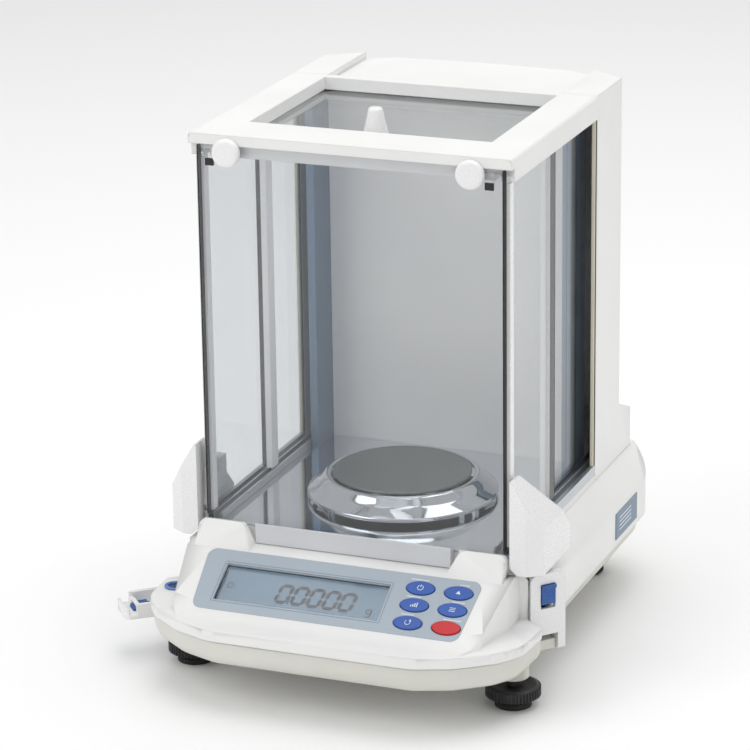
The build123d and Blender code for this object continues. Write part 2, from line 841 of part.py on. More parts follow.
def glass_clip(side):
    x = side * (front_glass_half - 7.5)
    low = total_height - 18.5
    return block(x - 2.6, x + 2.6, glass_front - 1.3, glass_front - 0.02, low, low + 4.2)


save("front_glass", front_glass())
save("thumb_screw_left", thumb_screw(-1))
save("thumb_screw_right", thumb_screw(1))
save("glass_clips", glass_clip(-1), glass_clip(1))


# ---------------------------------------------------------------- side tracks
def lower_track(side):
    rear = door_limit + 1.0
    body = block(track_in, half - 0.02, glass_back + 0.6, housing_front - 0.4, deck_height, track_top)
    body = body + block(track_in, half - skin - 0.6, housing_front - 0.5, rear, deck_height, track_top)
    slots = block(inner_pane_in - groove_gap, inner_pane_out + groove_gap, glass_back - 1, rear + 1,
                  groove_floor,
                  track_top + 1)
    slots = slots + block(outer_pane_in - groove_gap, outer_pane_out + groove_gap, glass_back - 1,
                          rear + 1, groove_floor, track_top + 1)
    body = body - slots
    return body if side > 0 else body.mirror(Plane.YZ)


save("lower_track_left", lower_track(-1))
save("lower_track_right", lower_track(1))


# ---------------------------------------------------------------- side doors
def front_pane(side):
    pane = block(outer_pane_in, outer_pane_out, front_pane_front, mid_seam, pane_bottom, pane_top)
    return pane if side > 0 else pane.mirror(Plane.YZ)


def rear_pane(side):
    pane = block(inner_pane_in, inner_pane_out, rear_pane_front, rear_pane_rear, pane_bottom, pane_top)
    return pane if side > 0 else pane.mirror(Plane.YZ)


stile_low = track_top + 1.0
stile_high = frame_bottom - 1.0


def rear_stile(side):
    strip = block(inner_pane_in - 0.6, inner_pane_out + 0.5, rear_pane_front - 0.8, rear_pane_front + 8.2,
                  stile_low, stile_high)
    strip = strip - block(inner_pane_in, inner_pane_out, rear_pane_front, rear_pane_front + 20, stile_low - 1,
                          stile_high + 1)
    return strip if side > 0 else strip.mirror(Plane.YZ)


grip_out = base_half + 3.0
grip_in = half + 0.4
grip_front = front_face - 3.6
grip_rear = front_face + 51.0
grip_low = 79.6
grip_peak = 137.0
grip_wall = 2.4
shoulder_gap = 1.2            # under the grip as it passes over the base's shoulder


def grip_hull(inset):
    body = block(grip_in - 10, grip_out - inset, grip_front + inset, grip_rear - inset, grip_low - 1,
                 grip_peak - inset)
    outer_cut = [
        (grip_out + 10, 108.0 - inset * 1.1),
        (grip_out, 108.0 - inset * 1.1),
        (grip_in - 12, grip_peak + 22 - inset * 1.1),
        (grip_out + 10, grip_peak + 22),
    ]
    body = body - deep_profile(outer_cut, grip_front - 20, grip_rear + 20)
    rear_cut = [
        (grip_rear, 94.0 - inset),
        (grip_rear + 20, 94.0 - inset),
        (grip_rear + 20, grip_peak + 20),
        (grip_rear - 60, grip_peak + 20 - inset),
    ]
    body = body - long_profile(rear_cut, grip_in - 20, grip_out + 20)
    nose = [
        (grip_out - 9 - inset * 0.4, grip_front - 5),
        (grip_out - 9 - inset * 0.4, grip_front + inset),
        (grip_out - inset, grip_front + 6 + inset * 0.4),
        (grip_out + 20, grip_front + 6),
        (grip_out + 20, grip_front - 5),
    ]
    body = body - prism(nose, grip_low - 5, grip_peak + 30)
    return body


def front_grip(side):
    shell = grip_hull(0) - (grip_hull(grip_wall) & block(-300, 300, -300, 300, 0, 400))
    keep = block(grip_in, grip_out + 10, grip_front - 5, grip_rear + 5, grip_low, grip_peak + 10)
    shell = shell & keep
    passing = [
        (grip_in - 10, 60),
        (base_half + 5, 60),
        (base_half + 5, step_height),
        (base_half, step_height + shoulder_gap),
        (shoulder_half, shoulder_height + shoulder_gap),
        (shoulder_half - 1, 85.0),
        (grip_in - 10, 85.0),
    ]
    shell = shell - deep_profile(passing, grip_front - 5, grip_rear + 10)
    shell = shell - block(grip_in - 10, grip_in + 4.6, grip_front + grip_wall, grip_rear + 10, 60, 85.0)
    pad = block(outer_pane_out + 0.02, grip_in + 3.0, front_pane_front + 6.0, grip_rear - 18,
                track_top + 3.0, 120.0)
    wing = grip_hull(0) & block(grip_in, grip_in + grip_wall, grip_front, grip_rear, 85.0, grip_peak)
    shell = shell + wing + pad
    stile = block(outer_pane_in - 0.6, outer_pane_out + 1.2, front_pane_front - 0.8, front_pane_front + 5.5,
                  stile_low, stile_high)
    slot = block(outer_pane_in - 0.02, outer_pane_out + 0.02, front_pane_front, front_pane_front + 30,
                 stile_low - 1, stile_high + 1)
    link = block(outer_pane_out + 0.02, grip_in + 1.0, front_pane_front + 0.5, front_pane_front + 8.0,
                 track_top + 3.0, 120.0)
    body = (stile - slot) + link + shell
    return body if side > 0 else body.mirror(Plane.YZ)


for side, word in ((-1, "left"), (1, "right")):
    save(f"front_pane_{word}", front_pane(side))
    save(f"door_grip_{word}", front_grip(side))
    save(f"rear_pane_{word}", rear_pane(side))
    save(f"rear_stile_{word}", rear_stile(side))


# ---------------------------------------------------------------- anchor levers
lever_face = 5.5
lever_back = -3.5
lever_plate = 2.4
ear_in = 6.8
ear_out = lever_width / 2
latch_low = 27.0
latch_high = 39.0
latch_travel = 2.6
latch_half = 4.6


def lever_blank():
    plate = block(lever_face - lever_plate, lever_face, -ear_out, ear_out, -2.5, lever_length)
    for sign in (1, -1):
        rib0 = sign * (ear_out - 2.6)
        rib1 = sign * ear_out
        plate = plate + block(lever_back, lever_face, min(rib0, rib1), max(rib0, rib1), 0, lever_length - 8)
    top = block(lever_back + 2, lever_face, -ear_out, ear_out, lever_length - 10.4, lever_length - 8)
    hook = block(lever_back + 3.5, lever_face, -ear_out, ear_out, lever_length - 2.4, lever_length)
    plate = plate + top + hook
    corners = plate.edges().filter_by(Axis.X).sort_by(Axis.Z)[-2:]
    plate = fillet(corners, 4)
    hub = Rot(90, 0, 0) * Cylinder(4.6, 2 * ear_out)
    hub = hub + block(-4.6, lever_face, -ear_out, ear_out, 0, 8)
    hub = hub - block(-20, 20, -ear_in, ear_in, -20, 20)
    shape = plate - block(-20, 20, -ear_in, ear_in, -20, 7.4)
    shape = shape + hub
    window = block(0, 20, -latch_half - 0.35, latch_half + 0.35, latch_low - latch_travel - 0.35,
                   latch_high + 0.35)
    shape = shape - window
    bore = Rot(90, 0, 0) * Cylinder(hinge_radius + fit_gap, 60)
    return shape - bore


def latch_blank():
    block_part = block(lever_face - lever_plate - 1.6, lever_face + 0.9, -latch_half, latch_half,
                       latch_low, latch_high)
    flange = block(lever_face - lever_plate - 2.2, lever_face - lever_plate - 0.3, -latch_half - 1.8,
                   latch_half + 1.8,
                   latch_low + 1.5, latch_high - 5.0)
    tab = block(lever_face + 0.8, lever_face + 2.0, -latch_half, latch_half, latch_high - 2.2, latch_high)
    return block_part + flange + tab


def hinge_pin():
    return Rot(90, 0, 0) * Cylinder(hinge_radius, 2 * ear_out - 0.6)


def opened(shape):
    return Rot(0, lever_swing, 0) * shape


save("lever_right", at_corner(1, lever_blank()))
save("lever_left", at_corner(-1, opened(lever_blank())))
save("latch_right", at_corner(1, latch_blank()))
save("latch_left", at_corner(-1, opened(latch_blank())))
save("hinge_pins", at_corner(1, hinge_pin()), at_corner(-1, hinge_pin()))


# ---------------------------------------------------------------- pan
pan_top = floor_height + 16.5
pan_radius = pan_diameter / 2
ring_low = floor_height + 3.0
ring_top = floor_height + 15.4
ring_lip_radius = pan_radius + 4.6
ring_out_radius = pan_radius + 16.0
ring_in_radius = pan_radius + 1.6


def pan():
    disc = rod(0, 0, pan_top - 2.2, pan_top, pan_radius)
    disc = fillet(disc.edges().sort_by(Axis.Z)[-1:], 0.8)
    boss = rod(0, 0, pan_top - 8, pan_top - 2.1, 7)
    cone = rod(0, 0, pan_top - 9, pan_top - 3.2, 3 + fit_gap)
    return disc + boss - cone


def pan_support():
    spindle = rod(0, 0, 58, pan_top - 8.3, 5.0) + rod(0, 0, floor_height + 2.5, pan_top - 8.3, 7.0)
    tip = rod(0, 0, pan_top - 8.4, pan_top - 3.5, 3.0)
    return spindle + tip


def breeze_ring():
    outline = [
        (ring_in_radius, ring_top),
        (ring_lip_radius - 0.8, ring_top),
        (ring_lip_radius, ring_top - 0.9),
        (ring_out_radius, ring_low + 1.4),
        (ring_out_radius, ring_low),
        (ring_out_radius - 1.6, ring_low),
        (ring_lip_radius - 1.0, ring_top - 2.4),
        (ring_in_radius, ring_top - 2.4),
    ]
    corners = [(r, 0, z) for r, z in outline]
    face = make_face(Polyline(*corners, close=True))
    ring = revolve(face, Axis.Z)
    for step in range(3):
        angle = math.radians(90 + 120 * step)
        place_x = (ring_out_radius - 3.4) * math.cos(angle)
        place_y = (ring_out_radius - 3.4) * math.sin(angle)
        leg = rod(place_x, place_y, floor_height, ring_low + 2.4, 2.2)
        ring = ring + leg
    return ring


save("pan", pan())
save("pan_support", pan_support())
save("breeze_ring", breeze_ring())
print("parts written")
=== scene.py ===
import json
import math

import bmesh
import bpy
from mathutils import Matrix, Vector


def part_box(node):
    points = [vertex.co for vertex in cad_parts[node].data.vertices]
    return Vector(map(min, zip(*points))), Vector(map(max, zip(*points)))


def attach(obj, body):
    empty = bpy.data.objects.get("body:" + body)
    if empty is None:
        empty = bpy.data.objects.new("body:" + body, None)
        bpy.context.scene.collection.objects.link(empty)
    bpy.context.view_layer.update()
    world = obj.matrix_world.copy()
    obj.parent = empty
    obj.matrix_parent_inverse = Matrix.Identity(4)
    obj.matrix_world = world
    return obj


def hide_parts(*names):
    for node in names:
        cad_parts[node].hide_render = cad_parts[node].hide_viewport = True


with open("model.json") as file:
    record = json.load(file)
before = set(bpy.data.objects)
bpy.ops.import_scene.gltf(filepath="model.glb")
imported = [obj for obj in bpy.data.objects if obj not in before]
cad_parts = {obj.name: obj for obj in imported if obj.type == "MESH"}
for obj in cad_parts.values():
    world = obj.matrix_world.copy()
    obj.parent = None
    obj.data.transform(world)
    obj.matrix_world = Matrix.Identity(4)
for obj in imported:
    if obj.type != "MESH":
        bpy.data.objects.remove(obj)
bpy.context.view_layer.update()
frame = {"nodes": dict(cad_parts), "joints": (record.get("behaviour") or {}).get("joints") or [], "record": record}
print("frame loaded")

mm = 0.001


def hexToLinear(code):
    channels = [int(code[i:i + 2], 16) / 255 for i in (1, 3, 5)]
    linear = [c / 12.92 if c <= 0.04045 else ((c + 0.055) / 1.055) ** 2.4 for c in channels]
    return (*linear, 1.0)


# adds one node with its settings and input values; an output socket given as a value becomes a link
def addNode(tree, kind, settings=None, values=None):
    node = tree.nodes.new(kind)
    for key, value in (settings or {}).items():
        setattr(node, key, value)
    for key, value in (values or {}).items():
        if isinstance(value, bpy.types.NodeSocket):
            tree.links.new(value, node.inputs[key])
        else:
            node.inputs[key].default_value = value
    return node


def newMaterial(name):
    material = bpy.data.materials.new(name)
    material.use_nodes = True
    material.node_tree.nodes.clear()
    return material, material.node_tree


def finishMaterial(tree, shader):
    addNode(tree, "ShaderNodeOutputMaterial", {}, {"Surface": shader})


# softened normal along the edges, and a mask that is 1 on those edges
def edgeNormal(tree, radius):
    bevel = addNode(tree, "ShaderNodeBevel", {"samples": 4}, {"Radius": radius * mm})
    geometry = addNode(tree, "ShaderNodeNewGeometry")
    facing = addNode(tree, "ShaderNodeVectorMath", {"operation": "DOT_PRODUCT"},
                     {0: bevel.outputs["Normal"], 1: geometry.outputs["Normal"]})
    mask = addNode(tree, "ShaderNodeMapRange", {},
                   {"Value": facing.outputs["Value"], "From Min": 0.98, "From Max": 0.80,
                    "To Min": 0.0, "To Max": 1.0})
    return bevel.outputs["Normal"], mask.outputs["Result"]


# moulded or painted surface: fine grain in the bump, slow tint drift, slightly rubbed edges
def mouldedSurface(name, look):
    material, tree = newMaterial(name)
    coords = addNode(tree, "ShaderNodeTexCoord")
    grain = addNode(tree, "ShaderNodeTexNoise", {}, {"Vector": coords.outputs["Object"],
                    "Scale": 1.0 / (look["grain"] * mm), "Detail": 3.0, "Roughness": 0.6})
    drift = addNode(tree, "ShaderNodeTexNoise", {}, {"Vector": coords.outputs["Object"],
                    "Scale": 1.0 / (look["drift"] * mm), "Detail": 2.0})
    softened, edges = edgeNormal(tree, look["edge"])
    share = addNode(tree, "ShaderNodeMapRange", {}, {"Value": drift.outputs["Fac"],
                    "From Min": 0.35, "From Max": 0.65})
    tint = addNode(tree, "ShaderNodeMix", {"data_type": "RGBA"}, {0: share.outputs["Result"],
                   6: hexToLinear(look["colour"]), 7: hexToLinear(look["shade"])})
    rub = addNode(tree, "ShaderNodeMath", {"operation": "MULTIPLY"}, {0: edges, 1: look["wear"]})
    worn = addNode(tree, "ShaderNodeMix", {"data_type": "RGBA"}, {0: rub.outputs["Value"],
                   6: tint.outputs[2], 7: hexToLinear(look["edgeColour"])})
    rough = addNode(tree, "ShaderNodeMapRange", {}, {"Value": grain.outputs["Fac"], "From Min": 0.3,
                    "From Max": 0.7, "To Min": look["rough"][0], "To Max": look["rough"][1]})
    bump = addNode(tree, "ShaderNodeBump", {}, {"Height": grain.outputs["Fac"],
                   "Strength": look["bump"], "Distance": look["depth"] * mm, "Normal": softened})
    shader = addNode(tree, "ShaderNodeBsdfPrincipled", {}, {"Base Color": worn.outputs[2],
                     "Roughness": rough.outputs["Result"], "Normal": bump.outputs["Normal"],
                     "IOR": look["ior"], "Coat Weight": look["coat"], "Coat Roughness": 0.12})
    finishMaterial(tree, shader.outputs["BSDF"])
    return material


# metal with brushing or casting grain; stretch gives the direction the lines run in
def metalSurface(name, look):
    material, tree = newMaterial(name)
    coords = addNode(tree, "ShaderNodeTexCoord")
    if look.get("turned"):
        # rings about the upright axis through the origin
        flat = addNode(tree, "ShaderNodeVectorMath", {"operation": "MULTIPLY"},
                       {0: coords.outputs["Object"], 1: (1.0, 1.0, 0.0)})
        radius = addNode(tree, "ShaderNodeVectorMath", {"operation": "LENGTH"},
                         {0: flat.outputs["Vector"]})
        place = addNode(tree, "ShaderNodeCombineXYZ", {}, {"X": radius.outputs["Value"]})
        vector = place.outputs["Vector"]
    else:
        mapping = addNode(tree, "ShaderNodeMapping", {}, {"Vector": coords.outputs["Object"],
                          "Scale": look["stretch"]})
        vector = mapping.outputs["Vector"]
    lines = addNode(tree, "ShaderNodeTexNoise", {}, {"Vector": vector,
                    "Scale": 1.0 / (look["grain"] * mm), "Detail": 4.0, "Roughness": 0.65})
    smears = addNode(tree, "ShaderNodeTexNoise", {}, {"Vector": coords.outputs["Object"],
                     "Scale": 1.0 / (look["drift"] * mm), "Detail": 3.0})
    softened, edges = edgeNormal(tree, look["edge"])
    tint = addNode(tree, "ShaderNodeMix", {"data_type": "RGBA"}, {0: lines.outputs["Fac"],
                   6: hexToLinear(look["colour"]), 7: hexToLinear(look["shade"])})
    rub = addNode(tree, "ShaderNodeMath", {"operation": "MULTIPLY"}, {0: edges, 1: look["wear"]})
    worn = addNode(tree, "ShaderNodeMix", {"data_type": "RGBA"}, {0: rub.outputs["Value"],
                   6: tint.outputs[2], 7: hexToLinear(look["edgeColour"])})
    rough = addNode(tree, "ShaderNodeMapRange", {}, {"Value": smears.outputs["Fac"], "From Min": 0.3,
                    "From Max": 0.7, "To Min": look["rough"][0], "To Max": look["rough"][1]})
    bump = addNode(tree, "ShaderNodeBump", {}, {"Height": lines.outputs["Fac"],
                   "Strength": look["bump"], "Distance": look["depth"] * mm, "Normal": softened})
    shader = addNode(tree, "ShaderNodeBsdfPrincipled", {}, {"Base Color": worn.outputs[2],
                     "Metallic": look["metallic"], "Roughness": rough.outputs["Result"],
                     "Normal": bump.outputs["Normal"]})
    finishMaterial(tree, shader.outputs["BSDF"])
    return material


# clear sheet: what is behind shows through a faint tint, with a mirror share that grows at a slant
def clearSheet(name, look):
    material, tree = newMaterial(name)
    coords = addNode(tree, "ShaderNodeTexCoord")
    film = addNode(tree, "ShaderNodeTexNoise", {}, {"Vector": coords.outputs["Object"],
                   "Scale": 1.0 / (look["drift"] * mm), "Detail": 3.0})
    rough = addNode(tree, "ShaderNodeMapRange", {}, {"Value": film.outputs["Fac"], "From Min": 0.3,
                    "From Max": 0.7, "To Min": look["rough"][0], "To Max": look["rough"][1]})
    tint = addNode(tree, "ShaderNodeMix", {"data_type": "RGBA"}, {0: film.outputs["Fac"],
                   6: hexToLinear(look["colour"]), 7: hexToLinear(look["shade"])})
    through = addNode(tree, "ShaderNodeBsdfTransparent", {}, {"Color": tint.outputs[2]})
    mirror = addNode(tree, "ShaderNodeBsdfGlossy", {}, {"Color": (1, 1, 1, 1),
                     "Roughness": rough.outputs["Result"]})
    facing = addNode(tree, "ShaderNodeLayerWeight", {}, {"Blend": 0.5})
    grazing = addNode(tree, "ShaderNodeMath", {"operation": "POWER"}, {0: facing.outputs["Facing"], 1: 5.0})
    share = addNode(tree, "ShaderNodeMapRange", {}, {"Value": grazing.outputs["Value"],
                    "To Min": look["mirror"], "To Max": 0.9})
    mixed = addNode(tree, "ShaderNodeMixShader", {}, {0: share.outputs["Result"],
                    1: through.outputs["BSDF"], 2: mirror.outputs["BSDF"]})
    finishMaterial(tree, mixed.outputs["Shader"])
    return material


whiteAbs = {"colour": "#F1F1EF", "shade": "#ECECEB", "edgeColour": "#FAFAF8", "wear": 0.35, "grain": 0.9,
            "drift": 70, "edge": 1.1, "rough": (0.34, 0.46), "bump": 0.10, "depth": 0.03, "ior": 1.53,
            "coat": 0.0}


def variant(base, **changes):
    return {**base, **changes}


# what each finish of the record is made of; grain, drift, edge and depth are in millimetres
finishes = {
    # moulded ABS with a fine spark-eroded texture: soft broad highlights
    "white_casing": mouldedSurface("mouldedAbsWhite", whiteAbs),
    # same ABS in a warmer batch
    "ivory_casing": mouldedSurface("mouldedAbsIvory", variant(whiteAbs, colour="#DEDDD6", shade="#D6D5CD")),
    # polished tool, so smoother and a little shinier
    "white_trim": mouldedSurface("polishedAbsWhite",
                                 variant(whiteAbs, rough=(0.22, 0.32), bump=0.10, edge=0.7,
                                                            colour="#F3F3F3", shade="#EEEEEE")),
    # zinc plate over steel: bright, slightly cloudy
    "zinc_screw": metalSurface("zincPlate", {"colour": "#C9CCD0", "shade": "#AEB2B8", "edgeColour": "#E4E6E8",
                               "wear": 0.5, "grain": 0.8, "drift": 6, "edge": 0.3, "stretch": (1, 1, 1),
                               "rough": (0.22, 0.38), "bump": 0.15, "depth": 0.02, "metallic": 1.0}),
    # mirror-polished stainless sheet with the faintest wiping marks
    "polished_steel": metalSurface("mirrorStainless", {"colour": "#E9EBEE", "shade": "#E2E5E9",
                                   "edgeColour": "#F4F5F6", "wear": 0.4, "grain": 2.0, "drift": 45,
                                   "edge": 0.4,
                                   "stretch": (0.12, 1, 1), "rough": (0.05, 0.11), "bump": 0.02,
                                   "depth": 0.01,
                                   "metallic": 1.0}),
    # satin grey ABS bar
    "grey_plastic": mouldedSurface("satinAbsGrey", variant(whiteAbs, colour="#D3D5D8", shade="#CCCED2",
                                                          rough=(0.30, 0.40), edge=0.5)),
    # printed polyester film, fine haircell face
    "panel_film": mouldedSurface("printedPolyesterFilm", variant(whiteAbs, colour="#ACB7C1", shade="#A8B3BE",
                                 edgeColour="#B4C0CB", grain=0.5, rough=(0.30, 0.42), edge=0.4, bump=0.12,
                                 wear=0.5)),
    # clear acrylic window
    "clear_window": clearSheet("clearAcrylic", {"colour": "#F6F8F9", "shade": "#F3F6F8", "drift": 14,
                               "rough": (0.02, 0.06), "mirror": 0.04}),
    # liquid crystal cell over a blue-grey reflector
    "lcd_glass": mouldedSurface("liquidCrystalCell", variant(whiteAbs, colour="#6B8AA0", shade="#5F7E96",
                                edgeColour="#5B7686", grain=0.6, rough=(0.16, 0.24), bump=0.04, edge=0.3,
                                coat=0.3)),
    # epoxy board under green solder mask
    "circuit_board": mouldedSurface("solderMaskBoard", variant(whiteAbs, colour="#1E5A35", shade="#174A2B",
                                    edgeColour="#B9A869", grain=1.4, rough=(0.28, 0.5), bump=0.3, edge=0.3,
                                    coat=0.2)),
    # domed key under printed film
    "blue_key": mouldedSurface("embossedKeyBlue", variant(whiteAbs, colour="#2C5DB4", shade="#2856AA",
                               edgeColour="#5C87D2", grain=0.5, rough=(0.26, 0.36), bump=0.10, edge=0.6,
                               wear=0.5)),
    "red_key": mouldedSurface("embossedKeyRed", variant(whiteAbs, colour="#D01220", shade="#C40F1C",
                              edgeColour="#E8525C", grain=0.5, rough=(0.26, 0.36), bump=0.10, edge=0.6,
                              wear=0.5)),
    # glossy moulded cup of the bubble level
    "level_cup": mouldedSurface("mouldedStyreneBlue", variant(whiteAbs, colour="#5E87C8", shade="#567FC1",
                                edgeColour="#8FB0E0", rough=(0.12, 0.2), edge=0.3)),
    "vial_glass": clearSheet("vialGlass", {"colour": "#E2EDF6", "shade": "#DCE9F4", "drift": 6,
                             "rough": (0.0, 0.03), "mirror": 0.05}),
    # moulded nitrile, matt with a dusty sheen
    "black_rubber": mouldedSurface("mouldedNitrile", variant(whiteAbs, colour="#171717", shade="#1E1E1D",
                                   edgeColour="#333332", grain=0.7, rough=(0.6, 0.8), bump=0.35, wear=0.5,
                                   edge=0.5)),
    # glass-filled nylon, satin black
    "black_plastic": mouldedSurface("glassFilledNylon", variant(whiteAbs, colour="#151517", shade="#1C1C1E",
                                    edgeColour="#3C3C40", grain=0.6, rough=(0.36, 0.5), bump=0.3, wear=0.5,
                                    edge=0.4)),
    # float glass panes with a very faint grey tint
    "door_glass": clearSheet("floatGlassDoor", {"colour": "#F7F8F8", "shade": "#F4F5F6", "drift": 80,
                             "rough": (0.0, 0.02), "mirror": 0.04}),
    "front_glass": clearSheet("floatGlassFront", {"colour": "#F8F8F9", "shade": "#F5F6F7", "drift": 80,
                              "rough": (0.0, 0.02), "mirror": 0.04}),
    # clear anodised extrusion, drawn lengthways
    "track_aluminium": metalSurface("anodisedExtrusion", {"colour": "#D6D9DC", "shade": "#C3C7CC",
                                    "edgeColour": "#EEF0F1", "wear": 0.4, "grain": 0.5, "drift": 30,
                                    "edge": 0.3,
                                    "stretch": (1, 0.03, 1), "rough": (0.3, 0.42), "bump": 0.2, "depth": 0.02,
                                    "metallic": 0.9}),
    "blue_latch": mouldedSurface("polishedAcetalBlue", variant(whiteAbs, colour="#1E5AA8", shade="#1B529B",
                                 edgeColour="#5C92D6", rough=(0.2, 0.3), edge=0.5, wear=0.6)),
    # die casting: pebbled skin
    "cast_aluminium": metalSurface("dieCastAluminium", {"colour": "#B4B6B9", "shade": "#A0A3A7",
                                   "edgeColour": "#D4D6D8", "wear": 0.5, "grain": 1.6, "drift": 24,
                                   "edge": 0.8,
                                   "stretch": (1, 1, 1), "rough": (0.45, 0.62), "bump": 0.5, "depth": 0.12,
                                   "metallic": 0.9}),
    # milled from bar, with cutter lines
    "machined_aluminium": metalSurface("milledAluminium", {"colour": "#C9CBCE", "shade": "#B7BABE",
                                       "edgeColour": "#E6E7E9", "wear": 0.5, "grain": 0.6, "drift": 20,
                                       "edge": 0.4, "stretch": (1, 0.1, 1), "rough": (0.26, 0.4),
                                       "bump": 0.25,
                                       "depth": 0.02, "metallic": 1.0}),
    "steel_weight": metalSurface("polishedWeightSteel", {"colour": "#D2D2D2", "shade": "#C4C4C5",
                                 "edgeColour": "#E9E9E9", "wear": 0.4, "grain": 0.5, "drift": 12, "edge": 0.3,
                                 "stretch": (0.1, 1, 1), "rough": (0.12, 0.22), "bump": 0.08, "depth": 0.01,
                                 "metallic": 1.0}),
    "socket_metal": metalSurface("nickelPlatedShell", {"colour": "#BFC0C2", "shade": "#ABACAF",
                                 "edgeColour": "#DEDFE0", "wear": 0.6, "grain": 0.7, "drift": 8, "edge": 0.3,
                                 "stretch": (1, 1, 1), "rough": (0.24, 0.4), "bump": 0.15, "depth": 0.02,
                                 "metallic": 1.0}),
    "label_film": mouldedSurface("printedLabelFilm", variant(whiteAbs, colour="#71879B", shade="#6B8196",
                                 edgeColour="#A2B2C0", grain=0.4, rough=(0.3, 0.42), edge=0.3)),
    # powder-coated steel back panel, faint orange peel
    "grey_panel": mouldedSurface("powderCoatGrey", variant(whiteAbs, colour="#F4F4F2", shade="#EFEFEE",
                                 grain=1.4, rough=(0.34, 0.46), bump=0.16, edge=0.5)),
    # blue-grey anodised corner posts
    "pillar_aluminium": metalSurface("blueGreyAnodised", {"colour": "#7F93A8", "shade": "#728699",
                                     "edgeColour": "#B2C0CE", "wear": 0.5, "grain": 0.5, "drift": 30,
                                     "edge": 0.5, "stretch": (1, 1, 0.03), "rough": (0.28, 0.4), "bump": 0.15,
                                     "depth": 0.02, "metallic": 0.6}),
    # fine lathe-turned stainless, satin grey
    "pan_steel": metalSurface("turnedStainlessPan", {"colour": "#8B8E8E", "shade": "#7D8080",
                              "edgeColour": "#C8CACA", "wear": 0.7, "grain": 0.7, "drift": 30, "edge": 0.4,
                              "turned": True, "rough": (0.34, 0.44), "bump": 0.12, "depth": 0.015,
                              "metallic": 0.85}),
    # bright chrome plate on a spun ring
    "chrome_ring": metalSurface("brightChromePlate", {"colour": "#DDE0E3", "shade": "#D4D8DC",
                                "edgeColour": "#F4F5F6", "wear": 0.3, "grain": 1.2, "drift": 30, "edge": 0.4,
                                "turned": True, "rough": (0.03, 0.08), "bump": 0.03, "depth": 0.01,
                                "metallic": 1.0}),
}

slotOf = {part["node"]: part["material_slot"] for part in frame["record"]["subparts"]}
for node, thing in frame["nodes"].items():
    thing.data.materials.clear()
    thing.data.materials.append(finishes[slotOf[node]])

# finishes used only by the added pieces
inkDark = mouldedSurface("liquidCrystalInk", variant(whiteAbs, colour="#232B36", shade="#262F3A",
                         edgeColour="#3A4450", rough=(0.3, 0.4), edge=0.1, bump=0.05))
inkPale = mouldedSurface("screenInkPale", variant(whiteAbs, colour="#E6ECF2", shade="#DFE6EE",
                         edgeColour="#F2F5F8", rough=(0.35, 0.45), edge=0.1, bump=0.08))
inkLine = mouldedSurface("screenInkBlueGrey", variant(whiteAbs, colour="#6F86A3", shade="#6B82A0",
                         edgeColour="#93A6BD", rough=(0.35, 0.45), edge=0.1, bump=0.08))
creamBrush = mouldedSurface("feltedBrushCream", variant(whiteAbs, colour="#D9D3BF", shade="#CDC6B0",
                            edgeColour="#E6E1D2", grain=0.35, rough=(0.7, 0.9), bump=0.8, depth=0.2,
                            edge=0.4))
# plain near-black finish for the strips that paint the dark glass edges: painted shade, not a real seal
edgeShadeBlack = mouldedSurface("paintedGlassEdgeShade", variant(whiteAbs, colour="#101112", shade="#17181A",
                           edgeColour="#2A2B2D", rough=(0.45, 0.6), edge=0.2))
print("finishes made")


def meshObject(name, mesh, material, body, replaced=()):
    if not mesh.materials:
        mesh.materials.append(material)
    piece = bpy.data.objects.new(name, mesh)
    bpy.context.scene.collection.objects.link(piece)
    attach(piece, body)
    if replaced:
        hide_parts(*replaced)
    return piece


def cleanMesh(build, name, sharpAngle=40):
    bmesh.ops.remove_doubles(build, verts=build.verts, dist=1e-7)
    bmesh.ops.recalc_face_normals(build, faces=build.faces)
    mesh = bpy.data.meshes.new(name)
    build.to_mesh(mesh)
    build.free()
    mesh.polygons.foreach_set("use_smooth", [True] * len(mesh.polygons))
    mesh.set_sharp_from_angle(angle=math.radians(sharpAngle))
    return mesh


# rounds the corners of a closed (radius, height) outline; each corner is (r, z, rounding)
def roundedOutline(corners, steps=4):
    points = []
    count = len(corners)
    for index in range(count):
        here = Vector(corners[index][:2])
        rounding = corners[index][2]
        if rounding <= 0:
            points.append(here)
            continue
        before = Vector(corners[index - 1][:2])
        after = Vector(corners[(index + 1) % count][:2])
        toBefore = (before - here).normalized()
        toAfter = (after - here).normalized()
        start = here + toBefore * rounding
        end = here + toAfter * rounding
        for step in range(steps + 1):
            t = step / steps
            points.append(start * (1 - t) ** 2 + here * 2 * t * (1 - t) + end * t * t)
    return points


# turns a closed outline about the upright axis through centre
def turned(build, corners, centre, steps=96, axis=(0, 0, 1)):
    outline = roundedOutline(corners)
    direction = Vector(axis).normalized()
    turn = Vector((0, 0, 1)).rotation_difference(direction).to_matrix()
    rings = []
    for step in range(steps):
        angle = 2 * math.pi * step / steps
        ring = []
        for r, z in outline:
            local = Vector((r * math.cos(angle), r * math.sin(angle), z)) * mm
            ring.append(build.verts.new(Vector(centre) + turn @ local))
        rings.append(ring)
    count = len(outline)
    for step in range(steps):
        here = rings[step]
        there = rings[(step + 1) % steps]
        for index in range(count):
            following = (index + 1) % count
            corners4 = [here[index], here[following], there[following], there[index]]
            if outline[index][0] < 1e-6 and outline[following][0] < 1e-6:
                continue
            if outline[index][0] < 1e-6:
                corners4 = corners4[:3]
            elif outline[following][0] < 1e-6:
                corners4 = [corners4[0], corners4[1], corners4[3]]
            build.faces.new(corners4)
    return build


# flat outline pushed up into a plate
def plate(build, outline, low, high, place=Matrix.Identity(4)):
    bottom = [build.verts.new(place @ (Vector((x, y, low)) * mm)) for x, y in outline]
    top = [build.verts.new(place @ (Vector((x, y, high)) * mm)) for x, y in outline]
    build.faces.new(top)
    build.faces.new(list(reversed(bottom)))
    count = len(outline)
    for index in range(count):
        following = (index + 1) % count
        build.faces.new([bottom[index], bottom[following], top[following], top[index]])
    return build


